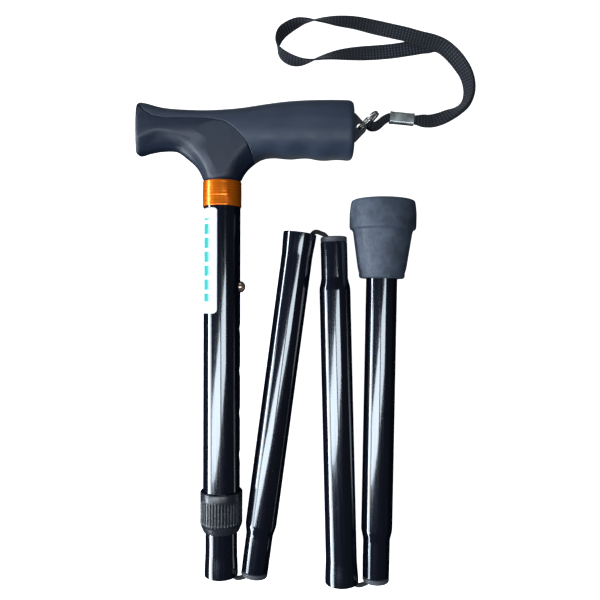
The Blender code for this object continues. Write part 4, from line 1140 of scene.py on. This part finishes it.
def add_tip():
    """Rubber ferrule: stepped head, tapering skirt, rolled top edge and a grooved sole."""
    heading = heading_of(4)
    length, radius = size_of("rubber_tip", heading)
    head = length - TIP_HEAD
    bore, floor = SECTION_R + FIT, length - TIP_SOLE
    outline = [(floor, 0.0), (floor, bore), (0.0, bore), (0.0, TIP_NECK_R - 1.0), (0.35, TIP_NECK_R - 0.4)]
    outline += [(1.0, TIP_NECK_R), (2.4, TIP_NECK_R + 0.15), (2.9, TIP_NECK_R + 0.02)]
    outline += [(6.0, TIP_NECK_R + 0.9), (head - 1.9, TIP_SHOULDER_R)]
    outline += [(head - 1.2, TIP_SHOULDER_R + 0.35), (head - 0.5, radius - 1.6)]
    outline += [(head - 0.1, radius - 0.75), (head + 0.6, radius - 0.25), (head + 1.6, radius - 0.05)]
    outline += [(length - 8.0, radius), (length - 2.6, radius - 0.55), (length - 0.9, radius - 0.95)]
    outline += [(length - 0.3, radius - 1.3), (length, radius - 2.0)]
    for r in (14.5, 8.5):
        outline += [(length, r), (length - 1.2, r - 0.5), (length - 1.2, r - 2.0), (length, r - 2.5)]
    outline.append((length, 0.0))
    tip = turned_on("rubber_tip", outline, heading, tip_rubber_look(), segments=128, closed=False)
    place(tip, "section_4", "rubber_tip", "tip")


# -------- ring, lug and crimp


def add_ring():
    """Split ring: a close coil of two turns of wire through the lug's hole, its plane upright."""
    hole = Vector(joint_named("ring_swing")["pos_m"])
    reach = math.sqrt(RING_R**2 - RING_DROP**2) * MM
    heading = math.radians(RING_HEADING)
    away = Vector((math.cos(heading), math.sin(heading), 0))
    side = Vector((-away.y, away.x, 0))
    centre = hole + away * reach - UP * RING_DROP * MM
    count = 72 * RING_TURNS
    rings = []
    for i in range(count):
        angle = math.pi / 2 + TURN * RING_TURNS * i / (count * 1.012)
        shift = RING_PITCH * RING_TURNS * (i / count - 0.375) * MM
        out = away * math.cos(angle) + UP * math.sin(angle)
        at = centre + out * RING_R * MM + side * shift
        rings.append([at + (out * c + side * s) * RING_WIRE_R * MM for c, s in wire_circle()])
    look = metal_look("ring_nickel_plate", (0.78, 0.76, 0.72), 0.13, 0.006)
    ring = sweep("split_ring_coil", rings, look, None)
    place(ring, "ring", "split_ring", "ring")


def wire_circle(count=16):
    return [(math.cos(TURN * i / count), math.sin(TURN * i / count)) for i in range(count)]


def box_ring(half_w, half_t, corner, count=9):
    """Outline of a rounded rectangle about its own centre, from its right side round."""
    points = []
    for k, (x, y) in enumerate(((1, 1), (-1, 1), (-1, -1), (1, -1))):
        for i in range(count):
            angle = math.pi / 2 * (k + i / (count - 1))
            px = x * (half_w - corner) + corner * math.cos(angle)
            points.append((px, y * (half_t - corner) + corner * math.sin(angle)))
    return points


def add_crimp():
    """Aluminium sleeve: rolled rims at both ends and a shallow pressed waist between them."""
    heading = math.radians(CRIMP_HEADING)
    run = Vector((math.cos(heading), math.sin(heading), 0))
    side = Vector((-run.y, run.x, 0))
    centre = CRIMP_CENTRE * MM
    half = CRIMP_LENGTH / 2
    end = [(half, 0.25), (half - 0.12, 0.06), (half - 0.35, 0.0), (half - 1.2, 0.0), (half - 1.6, 0.12)]
    end.append((half - 3.0, 0.16))
    stations = [(-x, inset) for x, inset in end] + [(0.0, 0.14)] + end[::-1]
    stations += [(half, 0.42), (-half, 0.42), stations[0]]
    rings = []
    for x, inset in stations:
        outline = box_ring(CRIMP_HALF_W - inset, CRIMP_HALF_T - inset, 1.3 - inset)
        rings.append([centre + (run * x + side * a + UP * b) * MM for a, b in outline])
    look = metal_look("crimp_aluminium_bare", (0.62, 0.67, 0.66), 0.3, 0.015)
    crimp = sweep("strap_crimp_sleeve", rings, look, None, caps=False)
    clean(crimp.data)
    keep_flats_flat(crimp)
    place(crimp, "strap", "strap_crimp", "crimp")
    return crimp


def dress(node, look, bevel=0.0):
    """A CAD node that stays, with its own procedural material and softened edges."""
    obj = frame["nodes"][node]
    for slot in obj.material_slots:
        slot.material = look
    if not obj.material_slots:
        obj.data.materials.append(look)
    if bevel:
        edge = obj.modifiers.new("Soft edges", "BEVEL")
        edge.width = bevel * MM
        edge.segments = 3
        edge.limit_method = "ANGLE"
        edge.angle_limit = math.radians(50)
        keep_flats_flat(obj)


def dress_inner_parts():
    """Materials for the CAD parts that stay: the lug and what sits inside the tubes."""
    dress("strap_lug", plastic_look("lug_moulded", (0.035, 0.042, 0.055), 0.38, 0.015), 0.35)
    steel = metal_look("steel_ground", (0.55, 0.55, 0.56), 0.28, 0.01)
    for node in ("handle_pin", "button_spring", "tip_washer"):
        dress(node, steel)
    nylon = plastic_look("nylon_natural", (0.45, 0.45, 0.42), 0.45, 0.02)
    for node in ("elastic_anchor_upper", "elastic_anchor_lower"):
        dress(node, nylon)
    grey = plastic_look("acetal_grey", (0.2, 0.2, 0.21), 0.45, 0.02)
    for node in ("inner_guide_cap", "tube_collet"):
        dress(node, grey)
    braid = braid_look()
    for node in [f"elastic_cord_{number}" for number in (1, 2, 3, 4)] + ["elastic_knot_lower"]:
        dress(node, braid)
    return braid


def add_pieces():
    add_strap(add_crimp())
    add_grip()
    black = lacquer_look()
    plug = plastic_look("plug_moulded", (0.075, 0.08, 0.095), 0.42, 0.015)
    add_upper_tube(black)
    add_collar()
    add_label()
    add_nut()
    add_button()
    add_inner_tube(black)
    for number in (2, 3, 4):
        add_section(number, black, plug)
    add_tip()
    add_ring()
    braid = dress_inner_parts()
    for number, parent in ((1, "inner"), (2, "section_2"), (3, "section_3")):
        add_loop(number, parent, braid)


add_camera()
add_pieces()
add_floor()
add_lights()
